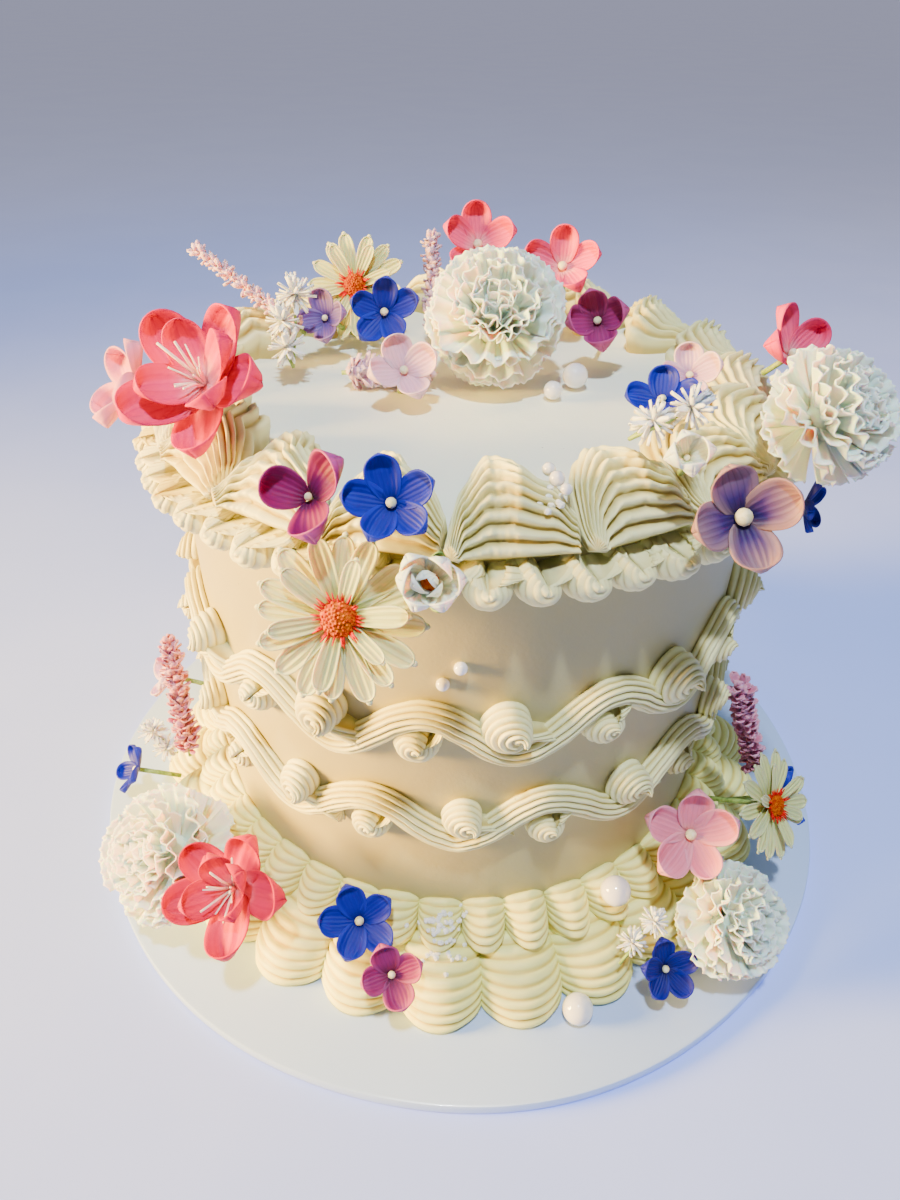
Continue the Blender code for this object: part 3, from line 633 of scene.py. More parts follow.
def makeSwag(node, pieceName, swag):
    pieces = [growPiece(pieceName, ribbonTree, {
        "Waves": swag["waves"], "Crest": radians(swag["crest"]), "Height": swag["height"],
        "Swing": swag["swing"], "Lean": swag["lean"], "Radius": ribbonSet["wall"],
        "Half Width": ribbonSet["halfWidth"], "Reach": ribbonSet["reach"], "Ridges": ribbonSet["ridges"],
        "Cut": ribbonSet["cut"], "Steps": ribbonSet["steps"], "Finish": shellIcing})]
    draw = random.Random(len(node) + swag["waves"])
    for label, curl, kind, offset, side in (("Trough", troughCurl, swag["trough"], 180 / swag["waves"], -1),
                                            ("Crest", crestCurl, swag["hanging"], 0, 1)):
        strokes = []
        for _ in range(curl["kinds"]):
            shape = dict(curl)
            shape["start"] = curl["start"] + draw.uniform(-25, 25)
            strokes.append(curledStroke(onWall, shape, draw.uniform(0.92, 1.06) * kind["size"]))
        height = swag["height"] + side * swag["swing"] + kind["lift"]
        pieces.append(pipeBorder(f"{pieceName}{label}Curls", strokes, curl["ridges"], {
            "Count": swag["waves"], "Radius": ribbonSet["wall"], "Height": height,
            "Phase": radians(swag["crest"] + offset + kind["turn"]), "Lean": swag["lean"], "Size Low": 0.94,
            "Size High": 1.04, "Sway": 0.14, "Seed": 3 + swag["waves"], "Finish": shellIcing},
            stray=0.5, skew=0.8))
    for piece in pieces:
        finishPiece(piece, "icing", node)


# how far a rounded pipe has grown at a share of its length, from notch to notch
def swellAt(share, low, power):
    return low + (1 - low) * sin(pi * min(max(share, 0.0), 1.0)) ** power


# upright half domes from the board to the wall, and the small kisses that stand on them;
# still is the share of its height that a dome keeps in its notches, lap how far it runs into the next one
baseShellSet = {
    "count": 26, "phase": -3.5 - 180 / 26, "wall": 81.3 * mm, "base": 4.3 * mm, "reach": 27.6 * mm,
    "top": 17.5 * mm, "ridges": 9, "kinds": 5, "cut": 1.3 * mm, "steps": 30, "low": 0.62, "power": 0.6,
    "still": 0.35, "lap": 0.02, "draw": 3, "grow": (0.97, 1.03), "tip": (-0.6 * mm, 0.8 * mm),
    "size": (0.97, 1.02), "sway": 0.0, "seed": 6,
    "rope": {"perRidge": 6, "rough": 0.3 * mm, "stray": 0.25, "skew": 1.2}}
baseBeadSet = {
    "count": 42, "phase": 0.0, "wall": 81.0 * mm, "base": 20.2 * mm, "reach": 13.2 * mm, "top": 10.8 * mm,
    "ridges": 6, "kinds": 5, "cut": 1.2 * mm, "steps": 22, "low": 0.24, "power": 0.52, "still": 0.62,
    "lap": 0.01, "draw": 12, "grow": (0.94, 1.05), "tip": None, "size": (0.94, 1.04), "sway": 0.06, "seed": 2,
    "rope": {"perRidge": 6, "rough": 0.4 * mm, "stray": 0.4, "sink": 2.4 * mm, "skew": 1.2}}


def makeDomes(name, node, settings):
    pitch = 2 * pi * settings["wall"] / settings["count"]
    draw = random.Random(settings["draw"])
    strokes = []
    for _ in range(settings["kinds"]):
        stations = []
        grown = draw.uniform(*settings["grow"])
        tip = draw.uniform(*settings["tip"]) if settings["tip"] else 0.0
        for i in range(settings["steps"] + 1):
            share = 0.5 - 0.5 * cos(pi * i / settings["steps"])
            size = swellAt(share, settings["low"], settings["power"]) * grown
            middle = Vector((pitch * ((1 + 2 * settings["lap"]) * share - settings["lap"]), 0,
                             tip * (share - 0.5)))
            side = Vector((0, -settings["reach"] * size, 0))
            up = Vector((0, 0, settings["top"] * (settings["still"] + (1 - settings["still"]) * size)))
            stations.append((middle, side, up, settings["cut"], 0.0))
        strokes.append(stations)
    piece = pipeBorder(name, strokes, settings["ridges"] * 2, {
        "Count": settings["count"], "Radius": settings["wall"], "Height": settings["base"],
        "Phase": radians(settings["phase"]), "Size Low": settings["size"][0],
        "Size High": settings["size"][1], "Sway": settings["sway"], "Seed": settings["seed"],
        "Finish": baseIcing}, **settings["rope"])
    finishPiece(piece, "icing", node)


makeTopShells()
makeTopBeads()
makeSwag("upper_swag", "upperSwag", swagSets["upper_swag"])
makeSwag("lower_swag", "lowerSwag", swagSets["lower_swag"])
makeDomes("baseShells", "base_shell_border", baseShellSet)
makeDomes("baseBeads", "base_bead_border", baseBeadSet)
print("piped icing is done")


# cake wall and top: scraped smooth, with the small unevenness of a palette knife
cakeSet = {"radius": 81.0 * mm, "low": 4.3 * mm, "top": 150.0 * mm, "round": 1.2 * mm, "sides": 192,
           "rows": 60, "wander": 0.22 * mm, "rings": 24}


# painted light: the scraped top is given a paler colour than the wall, standing in for the light and
# reflection that fall on it
def paintedTopLight(tree, colour):
    height = split(tree, objectPlace(tree))[2]
    share = ramp(tree, height, icingSet["topFrom"] - 0.8 * mm, icingSet["topFrom"])
    return mixColour(tree, share, colour, (*icingSet["top"], 1.0))


def makeCake():
    settings = cakeSet
    points = []
    sides, rows = settings["sides"], settings["rows"]
    profile = []
    for i in range(rows + 1):
        height = settings["low"] + (settings["top"] - settings["round"] - settings["low"]) * i / rows
        profile.append((settings["radius"], height))
    for i in range(1, 5):
        turn = radians(90 * i / 4)
        profile.append((settings["radius"] - settings["round"] * (1 - cos(turn)),
                        settings["top"] - settings["round"] * (1 - sin(turn))))
    for i in range(1, settings["rings"]):
        profile.append((settings["radius"] * (1 - i / settings["rings"]) - 0.2 * mm, settings["top"]))
    for out, height in profile:
        for j in range(sides):
            spot = polar(360 * j / sides, out, height)
            broad, fine = noise.noise(spot * 38), noise.noise(spot * 160)
            bend = settings["wander"] * broad + 0.3 * settings["wander"] * fine
            if height > settings["top"] - 0.1 * mm:
                spot.z += 1.2 * bend - 0.25 * settings["wander"]
            else:
                spot += polar(360 * j / sides, bend, 0)
            points.append(spot)
    faces = ringFaces(len(profile), sides)
    points += [Vector((0, 0, settings["low"])), Vector((0, 0, settings["top"]))]
    last = (len(profile) - 1) * sides
    for j in range(sides):
        k = (j + 1) % sides
        faces.append((k, j, len(points) - 2))
        faces.append((last + j, last + k, len(points) - 1))
    cake = linkObject("cakeIcing", meshFrom("cakeIcing", points, faces))
    # the wall's darker colour is painted shade, and the top is painted paler as painted light
    cake.data.materials.append(icingFinish("wallIcing", icingSet["wall"], icingSet["groove"], 0.0, 0.6,
                                           paintedTopLight))
    finishPiece(cake, "icing", "cake_body")


boardSet = {"radius": 127.0 * mm, "thick": 4.0 * mm, "round": 0.8 * mm, "sides": 192, "wander": 0.7 * mm}


def makeBoard():
    settings = boardSet
    points = []
    sides, edge = settings["sides"], settings["round"]
    profile = [(-edge, 0.0), (-0.3 * edge, 0.3 * edge), (0.0, edge), (0.0, settings["thick"] - edge),
               (-0.3 * edge, settings["thick"] - 0.3 * edge), (-edge, settings["thick"])]
    for back, height in profile:
        for j in range(sides):
            turn = 2 * pi * j / sides
            wave = 0.6 * sin(3 * turn + 1.0) + 0.4 * sin(7 * turn)
            out = settings["radius"] + back + settings["wander"] * wave
            points.append(polar(360 * j / sides, out, height))
    last = (len(profile) - 1) * sides
    faces = ringFaces(len(profile), sides) + [tuple(range(sides)), tuple(range(last, last + sides))]
    board = linkObject("cakeBoard", meshFrom("cakeBoard", points, faces))
    board.data.set_sharp_from_angle(angle=radians(35))
    finish, tree, shader = newFinish("boardCard", (0.46, 0.62, 1.0), 0.32, Coat_Weight=0.25)
    place = objectPlace(tree)
    fibre = noiseOn(tree, place, 500.0, 4.0)
    cloud = noiseOn(tree, place, 18.0, 2.0)
    colour = mixColour(tree, cloud, (0.42, 0.58, 1.0, 1.0), (0.50, 0.65, 1.0, 1.0))
    feed(tree, shader.inputs["Base Color"], colour)
    feed(tree, shader.inputs["Roughness"], cloud * 0.16 + 0.24)
    addBump(tree, shader, fibre, 0.12, 0.0002)
    board.data.materials.append(finish)
    finishPiece(board, "board_card", "board")


makeCake()
makeBoard()
print("cake and board are done")


plainPetal = {"rows": 8, "columns": 6, "neck": 0.3, "flare": 0.8, "blunt": 5.0, "round": True, "crown": 0.0,
              "notch": 0.0, "pinked": 0.0, "cup": 0.2, "curl": 0.0, "ripple": 0.0, "folds": 3, "ribs": 0.0,
              "thick": 0.35 * mm}


# a petal as a thin curved sheet along +X, its face towards +Z, mapped across and along
def petalMesh(name, changes):
    shape = dict(plainPetal, **changes)
    rows, columns = shape["rows"], shape["columns"]
    work = bmesh.new()
    mapping = work.loops.layers.uv.new("petalMap")
    grid, where = [], {}
    for i in range(rows + 1):
        along = sin(0.5 * pi * i / rows)
        line = []
        for j in range(columns + 1):
            across = 2 * j / columns - 1
            width = shape["width"] / 2 * (shape["neck"] + (1 - shape["neck"]) * along ** shape["flare"])
            width *= sqrt(max(0.0, 1 - along ** shape["blunt"])) if shape["round"] else 1.0
            reach = along - shape["crown"] * across * across * along
            reach -= shape["notch"] * abs(cos(1.5 * pi * across)) * along ** 8
            reach += shape["pinked"] * (-1) ** j * along ** 6
            rise = shape["curl"] * along * along
            rise += shape["ripple"] * sin(shape["folds"] * pi * across + 1.0) * along
            ribs = shape["ribs"] * cos(3 * pi * across) * sin(pi * along)
            bow = shape["cup"] * across * across * along - ribs
            vert = work.verts.new((shape["length"] * reach, width * across,
                                   shape["length"] * rise + shape["width"] * bow))
            where[vert] = (j / columns, along)
            line.append(vert)
        grid.append(line)
    for i in range(rows):
        for j in range(columns):
            work.faces.new((grid[i][j], grid[i + 1][j], grid[i + 1][j + 1], grid[i][j + 1]))
    for face in work.faces:
        face.smooth = True
        for loop in face.loops:
            loop[mapping].uv = where[loop.vert]
    bmesh.ops.remove_doubles(work, verts=work.verts, dist=0.00002)
    bmesh.ops.recalc_face_normals(work, faces=work.faces)
    if sum(face.normal.z for face in work.faces) < 0:
        bmesh.ops.reverse_faces(work, faces=work.faces)
    sheet = bpy.data.meshes.new(name)
    work.to_mesh(sheet)
    work.free()
    holder = linkObject(name, sheet)
    wall = holder.modifiers.new("thickness", "SOLIDIFY")
    wall.thickness = shape["thick"]
    wall.offset = -1.0
    bpy.context.view_layer.update()
    graph = bpy.context.evaluated_depsgraph_get()
    solid = bpy.data.meshes.new_from_object(holder.evaluated_get(graph), depsgraph=graph)
    holder.modifiers.clear()
    holder.data = solid
    bpy.context.scene.collection.objects.unlink(holder)
    return holder


# pieces set in a ring or a spiral round the flower's own axis
def buildWhorlTree():
    tree, given = newTree("petalWhorl", [
        ("Petal", "Object", None), ("Count", "Int", 5), ("Inner", "Float", 0.001), ("Outer", "Float", 0.001),
        ("Lift", "Float", 0.0), ("Drop", "Float", 0.0), ("Rise Inner", "Float", 0.5),
        ("Rise Outer", "Float", 0.5), ("Turn", "Float", 0.0), ("Turn Step", "Float", 0.0),
        ("Jitter", "Float", 0.1), ("Size Low", "Float", 0.95), ("Size High", "Float", 1.05),
        ("Seed", "Int", 1), ("Finish", "Material", None)])
    index = nodeFlow(tree, "GeometryNodeInputIndex")
    share = index / calc(tree, "MAXIMUM", given["Count"] - 1.0, 1.0)

    def stray(number):
        return randomFlow(tree, given["Jitter"] * -1.0, given["Jitter"], given["Seed"] + float(number))

    turn = given["Turn"] + index * given["Turn Step"] + stray(0)
    out = given["Inner"] + calc(tree, "SQRT", share) * (given["Outer"] - given["Inner"])
    place = vector(tree, out * calc(tree, "COSINE", turn), out * calc(tree, "SINE", turn),
                   given["Lift"] - given["Drop"] * share)
    points = nodeFlow(tree, "GeometryNodePoints", {"Count": given["Count"]})
    spots = nodeFlow(tree, "GeometryNodeSetPosition", {0: points, "Position": place})
    rise = given["Rise Inner"] + share * (given["Rise Outer"] - given["Rise Inner"]) + stray(1)
    size = randomFlow(tree, given["Size Low"], given["Size High"], given["Seed"] + 2.0)
    petal = nodeFlow(tree, "GeometryNodeObjectInfo", {0: given["Petal"], 1: True}, "Geometry")
    grown = nodeFlow(tree, "GeometryNodeInstanceOnPoints", {
        "Points": spots, "Instance": petal, "Scale": vector(tree, size, size, size),
        "Rotation": vector(tree, stray(3), rise * -1.0, turn)})
    closeTree(tree, grown, given["Finish"])
    return tree


whorlTree = buildWhorlTree()


def growWhorl(name, petal, finish, count, inner=0.0, outer=None, lift=0.0, drop=0.0, rise=0.0, riseOuter=None,
              turn=0.0, step=None, jitter=0.08, size=(0.95, 1.05), seed=1):
    step = 2 * pi / count if step is None else step
    return growPiece(name, whorlTree, {
        "Petal": petal, "Count": count, "Inner": inner, "Outer": inner if outer is None else outer,
        "Lift": lift, "Drop": drop, "Rise Inner": radians(rise),
        "Rise Outer": radians(rise if riseOuter is None else riseOuter), "Turn": turn, "Turn Step": step,
        "Jitter": jitter, "Size Low": size[0], "Size High": size[1], "Seed": seed, "Finish": finish})


goldenTurn = pi * (3 - sqrt(5))


# a small solid ball or bead, as a mesh that trees repeat
def seedMesh(name, radius, stretch=1.0, subdivisions=1):
    work = bmesh.new()
    bmesh.ops.create_icosphere(work, subdivisions=subdivisions, radius=radius)
    bmesh.ops.scale(work, vec=(stretch, 1.0, 1.0), verts=work.verts)
    mesh = bpy.data.meshes.new(name)
    work.to_mesh(mesh)
    work.free()
    return bpy.data.objects.new(name, mesh)


# a bent rod from point to point: stems, filaments and stalks
def rodMesh(name, path, radius, tip=1.0, sides=7, finish=None):
    points = []
    for i, middle in enumerate(path):
        ahead = (path[min(i + 1, len(path) - 1)] - path[max(i - 1, 0)]).normalized()
        side = ahead.orthogonal().normalized()
        other = ahead.cross(side)
        thick = radius * (1 + (tip - 1) * i / (len(path) - 1))
        for j in range(sides):
            turn = 2 * pi * j / sides
            points.append(middle + (side * cos(turn) + other * sin(turn)) * thick)
    last = (len(path) - 1) * sides
    faces = ringFaces(len(path), sides) + [tuple(range(sides)), tuple(range(last, last + sides))]
    obj = linkObject(name, meshFrom(name, points, faces))
    if finish:
        obj.data.materials.append(finish)
    return obj


def ballMesh(name, radius, finish, place=Vector((0, 0, 0)), flat=1.0, subdivisions=3, bumps=0.0):
    work = bmesh.new()
    bmesh.ops.create_icosphere(work, subdivisions=subdivisions, radius=radius)
    for vert in work.verts:
        vert.co *= 1 + bumps * noise.noise(vert.co * (2.2 / radius))
        vert.co.z *= flat
        vert.co += place
    mesh = bpy.data.meshes.new(name)
    work.to_mesh(mesh)
    work.free()
    mesh.polygons.foreach_set("use_smooth", [True] * len(mesh.polygons))
    mesh.materials.append(finish)
    return linkObject(name, mesh)


stemGreen = dyedFinish("stemGreen", (0.16, 0.28, 0.05), (0.34, 0.48, 0.12), 0.5)
calyxGreen = dyedFinish("calyxGreen", (0.10, 0.20, 0.03), (0.28, 0.40, 0.10), 0.55)
heartCream = dyedFinish("heartCream", (0.72, 0.70, 0.36), (0.88, 0.86, 0.62), 0.5)
stamenCream = dyedFinish("stamenCream", (0.86, 0.74, 0.62), (0.95, 0.88, 0.78), 0.5)
daisyEye = dyedFinish("daisyEye", (0.40, 0.03, 0.0), (0.58, 0.13, 0.0), 0.6, 900.0, 0.6,
                      Specular_IOR_Level=0.05)
daisyThread = dyedFinish("daisyThread", (0.56, 0.0, 0.002), (0.76, 0.006, 0.003), 0.5, Specular_IOR_Level=0.1)
pearlCoat = dyedFinish("pearlCoat", (0.80, 0.77, 0.84), (0.94, 0.92, 0.92), 0.14, 120.0, 0.02,
                       Coat_Weight=1.0)
sugarGrain = dyedFinish("sugarGrain", (0.92, 0.93, 0.95), (0.98, 0.98, 0.99), 0.1, 900.0, 0.2,
                        Coat_Weight=1.0)

# petal colours at the root, in the body and at the edge; then the share where the root's colour ends and the
# edge's begins, the strength and number of veins, and the roughness
petalLooks = {
    "daisy": ((0.46, 0.52, 0.04), (0.70, 0.67, 0.29), (0.84, 0.80, 0.46), 0.45, 0.8, 0.22, 3.0),
    "blue": ((0.002, 0.003, 0.18), (0.003, 0.008, 0.33), (0.010, 0.022, 0.50), 0.35, 0.6, 0.12),
    "deepBlue": ((0.001, 0.001, 0.08), (0.001, 0.002, 0.20), (0.002, 0.006, 0.34), 0.4, 0.7),
    "magenta": ((0.08, 0.002, 0.05), (0.20, 0.006, 0.11), (0.46, 0.08, 0.32), 0.4, 0.88, 0.15),
    "burgundy": ((0.12, 0.01, 0.05), (0.26, 0.02, 0.14), (0.45, 0.07, 0.26), 0.45, 0.7, 0.15),
    "mauve": ((0.006, 0.001, 0.04), (0.05, 0.02, 0.17), (0.36, 0.21, 0.22), 0.5, 0.35, 0.2),
    "violet": ((0.06, 0.03, 0.20), (0.14, 0.08, 0.34), (0.28, 0.18, 0.46), 0.4, 0.7),
    "lilac": ((0.55, 0.26, 0.42), (0.68, 0.40, 0.56), (0.80, 0.58, 0.70), 0.35, 0.7, 0.1),
    "pink": ((0.92, 0.44, 0.46), (0.82, 0.02, 0.18), (0.76, 0.001, 0.10), 0.5, 0.55, 0.08, 5.0),
    "coral": ((0.90, 0.26, 0.28), (0.74, 0.012, 0.11), (0.64, 0.001, 0.06), 0.45, 0.55, 0.08, 5.0),
    "hotPink": ((0.88, 0.34, 0.38), (0.85, 0.08, 0.22), (0.82, 0.03, 0.16), 0.4, 0.7, 0.14),
    "palePink": ((0.82, 0.30, 0.32), (0.78, 0.22, 0.32), (0.84, 0.32, 0.44), 0.3, 0.7, 0.08),
    "dustyPink": ((0.72, 0.36, 0.44), (0.80, 0.46, 0.58), (0.85, 0.56, 0.68), 0.3, 0.7, 0.1),
    "cream": ((0.66, 0.66, 0.30), (0.90, 0.89, 0.74), (0.94, 0.93, 0.86), 0.35, 0.75, 0.1),
    "carnation": ((0.92, 0.88, 0.52), (0.95, 0.93, 0.74), (0.98, 0.96, 0.86), 0.40, 0.8, 0.0, 5.0, 0.7),
    "white": ((0.74, 0.78, 0.90), (0.88, 0.90, 0.97), (0.96, 0.96, 0.99), 0.3, 0.7, 0.05),
    "rose": ((0.36, 0.09, 0.20), (0.60, 0.20, 0.34), (0.76, 0.38, 0.52), 0.4, 0.7, 0.1),
    "heather": ((0.66, 0.28, 0.40), (0.82, 0.44, 0.54), (0.92, 0.66, 0.72), 0.4, 0.7, 0.1)}
petalColours = {key: petalFinish(f"{key}Petal", *look) for key, look in petalLooks.items()}
# thin pale cloth that light comes through
for key, weight in (("carnation", 0.6), ("daisy", 0.3), ("cream", 0.4)):
    shader = petalColours[key].node_tree.nodes["Principled BSDF"]
    shader.inputs["Subsurface Weight"].default_value = weight
    shader.inputs["Subsurface Scale"].default_value = 0.006
print("petal finishes are built")

solids = {}
for nodeName, nodeObject in frame["nodes"].items():
    nodePoints = [vertex.co.copy() for vertex in nodeObject.data.vertices]
    solids[nodeName] = BVHTree.FromPolygons(nodePoints,
                                            [tuple(face.vertices) for face in nodeObject.data.polygons])
carriers = ("board", "cake_body", "top_shell_border", "top_bead_border", "upper_swag", "lower_swag",
            "base_shell_border", "base_bead_border")


def joinParts(name, parts):
    with bpy.context.temp_override(active_object=parts[0], object=parts[0], selected_objects=parts,
                                   selected_editable_objects=parts):
        bpy.ops.object.join()
    parts[0].name = name
    parts[0].data.name = name
    return parts[0]


def facingFrame(at, facing, spin=0.0):
    look = polar(facing[0], cos(radians(facing[1])), sin(radians(facing[1])))
    side = Vector((0, 0, 1)).cross(look).normalized()
    turn = Matrix((side, look.cross(side), look)).transposed().to_4x4()
    place = Matrix.Translation(polar(at[0], at[1] * mm, at[2] * mm))
    return place @ turn @ Matrix.Rotation(radians(spin), 4, "Z")


# straight stem from behind a blossom into the icing or board that carries it
def stemFor(name, place, back):
    start = place @ Vector((0, 0, back))
    away = -(place.to_3x3() @ Vector((0, 0, 1)))
    hits = [solids[key].ray_cast(start, away, 0.07)[3] for key in carriers]
    hits = [hit for hit in hits if hit is not None]
    reach = (min(hits) if hits else 0.004) + 1.5 * mm
    return rodMesh(name, [Vector((0, 0, back + 0.8 * mm)), Vector((0, 0, back - reach))], 0.8 * mm, 1.0, 7,
                   stemGreen)


def plant(node, slotName, parts, place, back=-1.5 * mm):
    name = "".join(word.capitalize() for word in node.split("_"))
    name = name[0].lower() + name[1:]
    if back is not None:
        parts.append(stemFor(name + "Stem", place, back))
    piece = joinParts(name, parts)
    piece.data.transform(place)
    piece.data.update()
    return finishPiece(piece, slotName, node)


def slotOf(node):
    return next(row["material_slot"] for row in frame["record"]["subparts"] if row["node"] == node)


daisySet = {"outer": 14, "inner": 6, "eye": 0.205, "petal": {
    "width": 6.0 * mm, "neck": 0.42, "flare": 0.75, "blunt": 7.0, "notch": 0.05, "crown": 0.07, "cup": 0.13,
    "ribs": 0.05, "curl": -0.10, "rows": 10, "columns": 10, "thick": 0.3 * mm}}


def makeDaisy(node, at, facing, across, spin=0, outer=None):
    radius = across * mm / 2
    eye = daisySet["eye"] * radius
    shape = dict(daisySet["petal"], length=radius - 0.6 * eye, width=daisySet["petal"]["width"] * across / 39)
    petal = petalMesh("daisyPetalShape", shape)
    seed = int(abs(at[0])) + 3
    parts = [growWhorl("petals", petal, petalColours["daisy"], outer or daisySet["outer"], 0.5 * eye,
                       lift=0.0, rise=9, jitter=0.09, size=(0.93, 1.03), seed=seed),
             growWhorl("innerPetals", petal, petalColours["daisy"], daisySet["inner"], 0.4 * eye,
                       lift=0.9 * mm, rise=17, turn=0.25, jitter=0.16, size=(0.72, 0.9), seed=seed + 5),
             ballMesh("eyeDome", eye, daisyEye, Vector((0, 0, 1.2 * mm)), 0.62, 3, 0.12)]
    bead = seedMesh("eyeBead", 0.42 * mm, 1.3)
    parts.append(growWhorl("eyeBeads", bead, daisyEye, 70, 0.0, 0.92 * eye, lift=1.2 * mm + 0.62 * eye,
                           drop=0.4 * eye, rise=80, riseOuter=30, step=goldenTurn, jitter=0.1, seed=seed))
    thread = rodMesh("eyeThread", [Vector((0, 0, 0)), Vector((1.5 * mm, 0, 0.3 * mm)),
                                   Vector((2.7 * mm, 0, 0))], 0.34 * mm, 0.3, 5)
    parts.append(growWhorl("filaments", thread, daisyThread, 34, 0.80 * eye, lift=1.6 * mm, rise=28,
                           jitter=0.22, size=(0.75, 1.25), seed=seed))
    for helper in (petal, bead, thread):
        bpy.data.objects.remove(helper)
    plant(node, slotOf(node), parts, facingFrame(at, facing, spin))


blossomPetal = {"neck": 0.20, "flare": 0.62, "blunt": 2.6, "crown": 0.05, "cup": 0.14, "curl": 0.05,
                "ripple": 0.025, "folds": 2, "rows": 12, "columns": 10}


# small blossoms of three to five broad petals; cup is a share of a petal's width, curl of its length
def makeBlossom(node, colour, at, facing, across, petals=5, cup=0.2, spin=0, wide=1.0, heart=0.12,
                heartFinish=None, curl=0.05, jitter=0.1, rise=14, stamens=0):
    radius = across * mm / 2
    shape = dict(blossomPetal, length=radius * 0.98, width=radius * 4.6 * wide / petals ** 0.9, cup=cup,
                 curl=curl)
    petal = petalMesh("blossomPetalShape", shape)
    seed = int(abs(at[0])) + petals
    parts = [growWhorl("petals", petal, petalColours[colour], petals, 0.05 * radius, rise=rise, turn=0.3,
                       jitter=jitter, size=(0.93, 1.06), seed=seed)]
    if heart:
        parts.append(ballMesh("heart", heart * radius, heartFinish or heartCream,
                              Vector((0, 0, 0.10 * radius)), 0.8, 2, 0.1))
    if stamens:
        thread = rodMesh("stamenShape", [Vector((0, 0, 0)), Vector((0.3 * radius, 0, 0.1 * mm)),
                                         Vector((0.62 * radius, 0, 0))], 0.28 * mm, 0.6, 5)
        parts.append(growWhorl("stamens", thread, stamenCream, stamens, 0.02 * radius, rise=58, jitter=0.3,
                               size=(0.8, 1.2), seed=seed))
        bpy.data.objects.remove(thread)
    bpy.data.objects.remove(petal)
    plant(node, slotOf(node), parts, facingFrame(at, facing, spin))


freesiaPetal = {"neck": 0.30, "flare": 0.62, "blunt": 2.8, "crown": 0.04, "cup": 0.20, "curl": 0.10,
                "ripple": 0.04, "folds": 2, "rows": 12, "columns": 10}


# two rings of pointed petals that stand open like a cup, with a spray of stamens
def makeFreesia(node, colour, at, facing, across, spin=0):
    radius = across * mm / 2
    petal = petalMesh("freesiaPetalShape", dict(freesiaPetal, length=radius * 1.05, width=radius * 0.98))
    seed = int(abs(at[0]))
    parts = [growWhorl("petals", petal, petalColours[colour], 5, 0.04 * radius, rise=12, jitter=0.16,
                       size=(0.95, 1.08), seed=seed),
             growWhorl("innerPetals", petal, petalColours[colour], 4, 0.02 * radius, lift=1.0 * mm, rise=36,
                       turn=0.7, jitter=0.2, size=(0.74, 0.88), seed=seed + 2)]
    thread = rodMesh("stamenShape", [Vector((0, 0, 0)), Vector((0.3 * radius, 0, 0.5 * mm)),
                                     Vector((0.6 * radius, 0, 0))], 0.36 * mm, 0.7, 6)
    parts.append(growWhorl("stamens", thread, stamenCream, 11, 0.03 * radius, lift=0.8 * mm, rise=58,
                           jitter=0.35, size=(0.8, 1.3), seed=seed))
    for helper in (petal, thread):
        bpy.data.objects.remove(helper)
    plant(node, slotOf(node), parts, facingFrame(at, facing, spin))


carnationPetal = {"neck": 0.22, "flare": 1.0, "round": False, "crown": 0.16, "cup": 0.05, "ripple": 0.075,
                  "folds": 3.0, "pinked": 0.016, "curl": 0.12, "rows": 6, "columns": 18, "thick": 0.35 * mm}
carnationRings = ((11, 4, 1.0, 0.0), (10, 22, 0.98, 0.05), (9, 40, 0.92, 0.1), (8, 56, 0.84, 0.12),
                  (6, 72, 0.74, 0.14), (4, 84, 0.66, 0.14))


# a ball of ruffled petals with pinked edges
def makeCarnation(node, at, facing, across):
    radius = across * mm / 2
    parts = []
    seed = int(abs(at[0]))
    petal = petalMesh("carnationPetalShape", dict(carnationPetal, length=radius * 0.98, width=radius * 0.95))
    for number, (count, rise, size, lift) in enumerate(carnationRings):
        parts.append(growWhorl("petals", petal, petalColours["carnation"], count, 0.03 * radius,
                               lift=lift * radius, rise=rise, turn=0.7 * number, jitter=0.2,
                               size=(size * 0.92, size * 1.04), seed=seed + number))
    parts.append(growWhorl("innerPetals", petal, petalColours["carnation"], 9, 0.02 * radius,
                           lift=-0.1 * radius, rise=-22, turn=0.3, jitter=0.2, size=(0.8, 0.92),
                           seed=seed + 9))
    parts.append(ballMesh("core", 0.42 * radius, petalColours["carnation"], Vector((0, 0, 0.24 * radius)),
                          1.0, 3, 0.2))
    parts.append(rodMesh("calyx", [Vector((0, 0, 0)), Vector((0, 0, -0.2 * radius)),
                                   Vector((0, 0, -0.5 * radius))],
                         0.26 * radius, 0.5, 10, calyxGreen))
    bpy.data.objects.remove(petal)
    plant(node, slotOf(node), parts, facingFrame(at, facing), back=-0.48 * radius)


budPetal = {"neck": 0.35, "flare": 0.6, "blunt": 3.5, "cup": 0.3, "curl": 0.22, "ripple": 0.04, "folds": 2,
            "rows": 8, "columns": 7}


# half-open white bud with an orange heart and a green calyx
def makeBud(node, at, facing, across):
    radius = across * mm / 2
    petal = petalMesh("budPetalShape", dict(budPetal, length=radius * 1.15, width=radius * 1.1))
    leaf = petalMesh("calyxLeafShape", dict(budPetal, length=radius * 0.8, width=radius * 0.5, curl=0.1))
    parts = [growWhorl("petals", petal, petalColours["cream"], 6, 0.1 * radius, rise=34, jitter=0.22, seed=4),
             growWhorl("innerPetals", petal, petalColours["cream"], 4, 0.05 * radius, lift=0.5 * mm, rise=60,
                       turn=0.5, jitter=0.25, size=(0.6, 0.75), seed=6),
             ballMesh("budHeart", 0.26 * radius, daisyEye, Vector((0, 0, 0.25 * radius)), 1.0, 2, 0.15),
             growWhorl("calyxLeaves", leaf, calyxGreen, 5, 0.1 * radius, lift=-0.6 * mm, rise=12, jitter=0.2,
                       seed=2)]
    for helper in (petal, leaf):
        bpy.data.objects.remove(helper)
    plant(node, slotOf(node), parts, facingFrame(at, facing))


floretPetal = {"neck": 0.4, "flare": 0.6, "blunt": 3.0, "cup": 0.25, "curl": 0.2, "rows": 3, "columns": 2,
               "thick": 0.25 * mm}


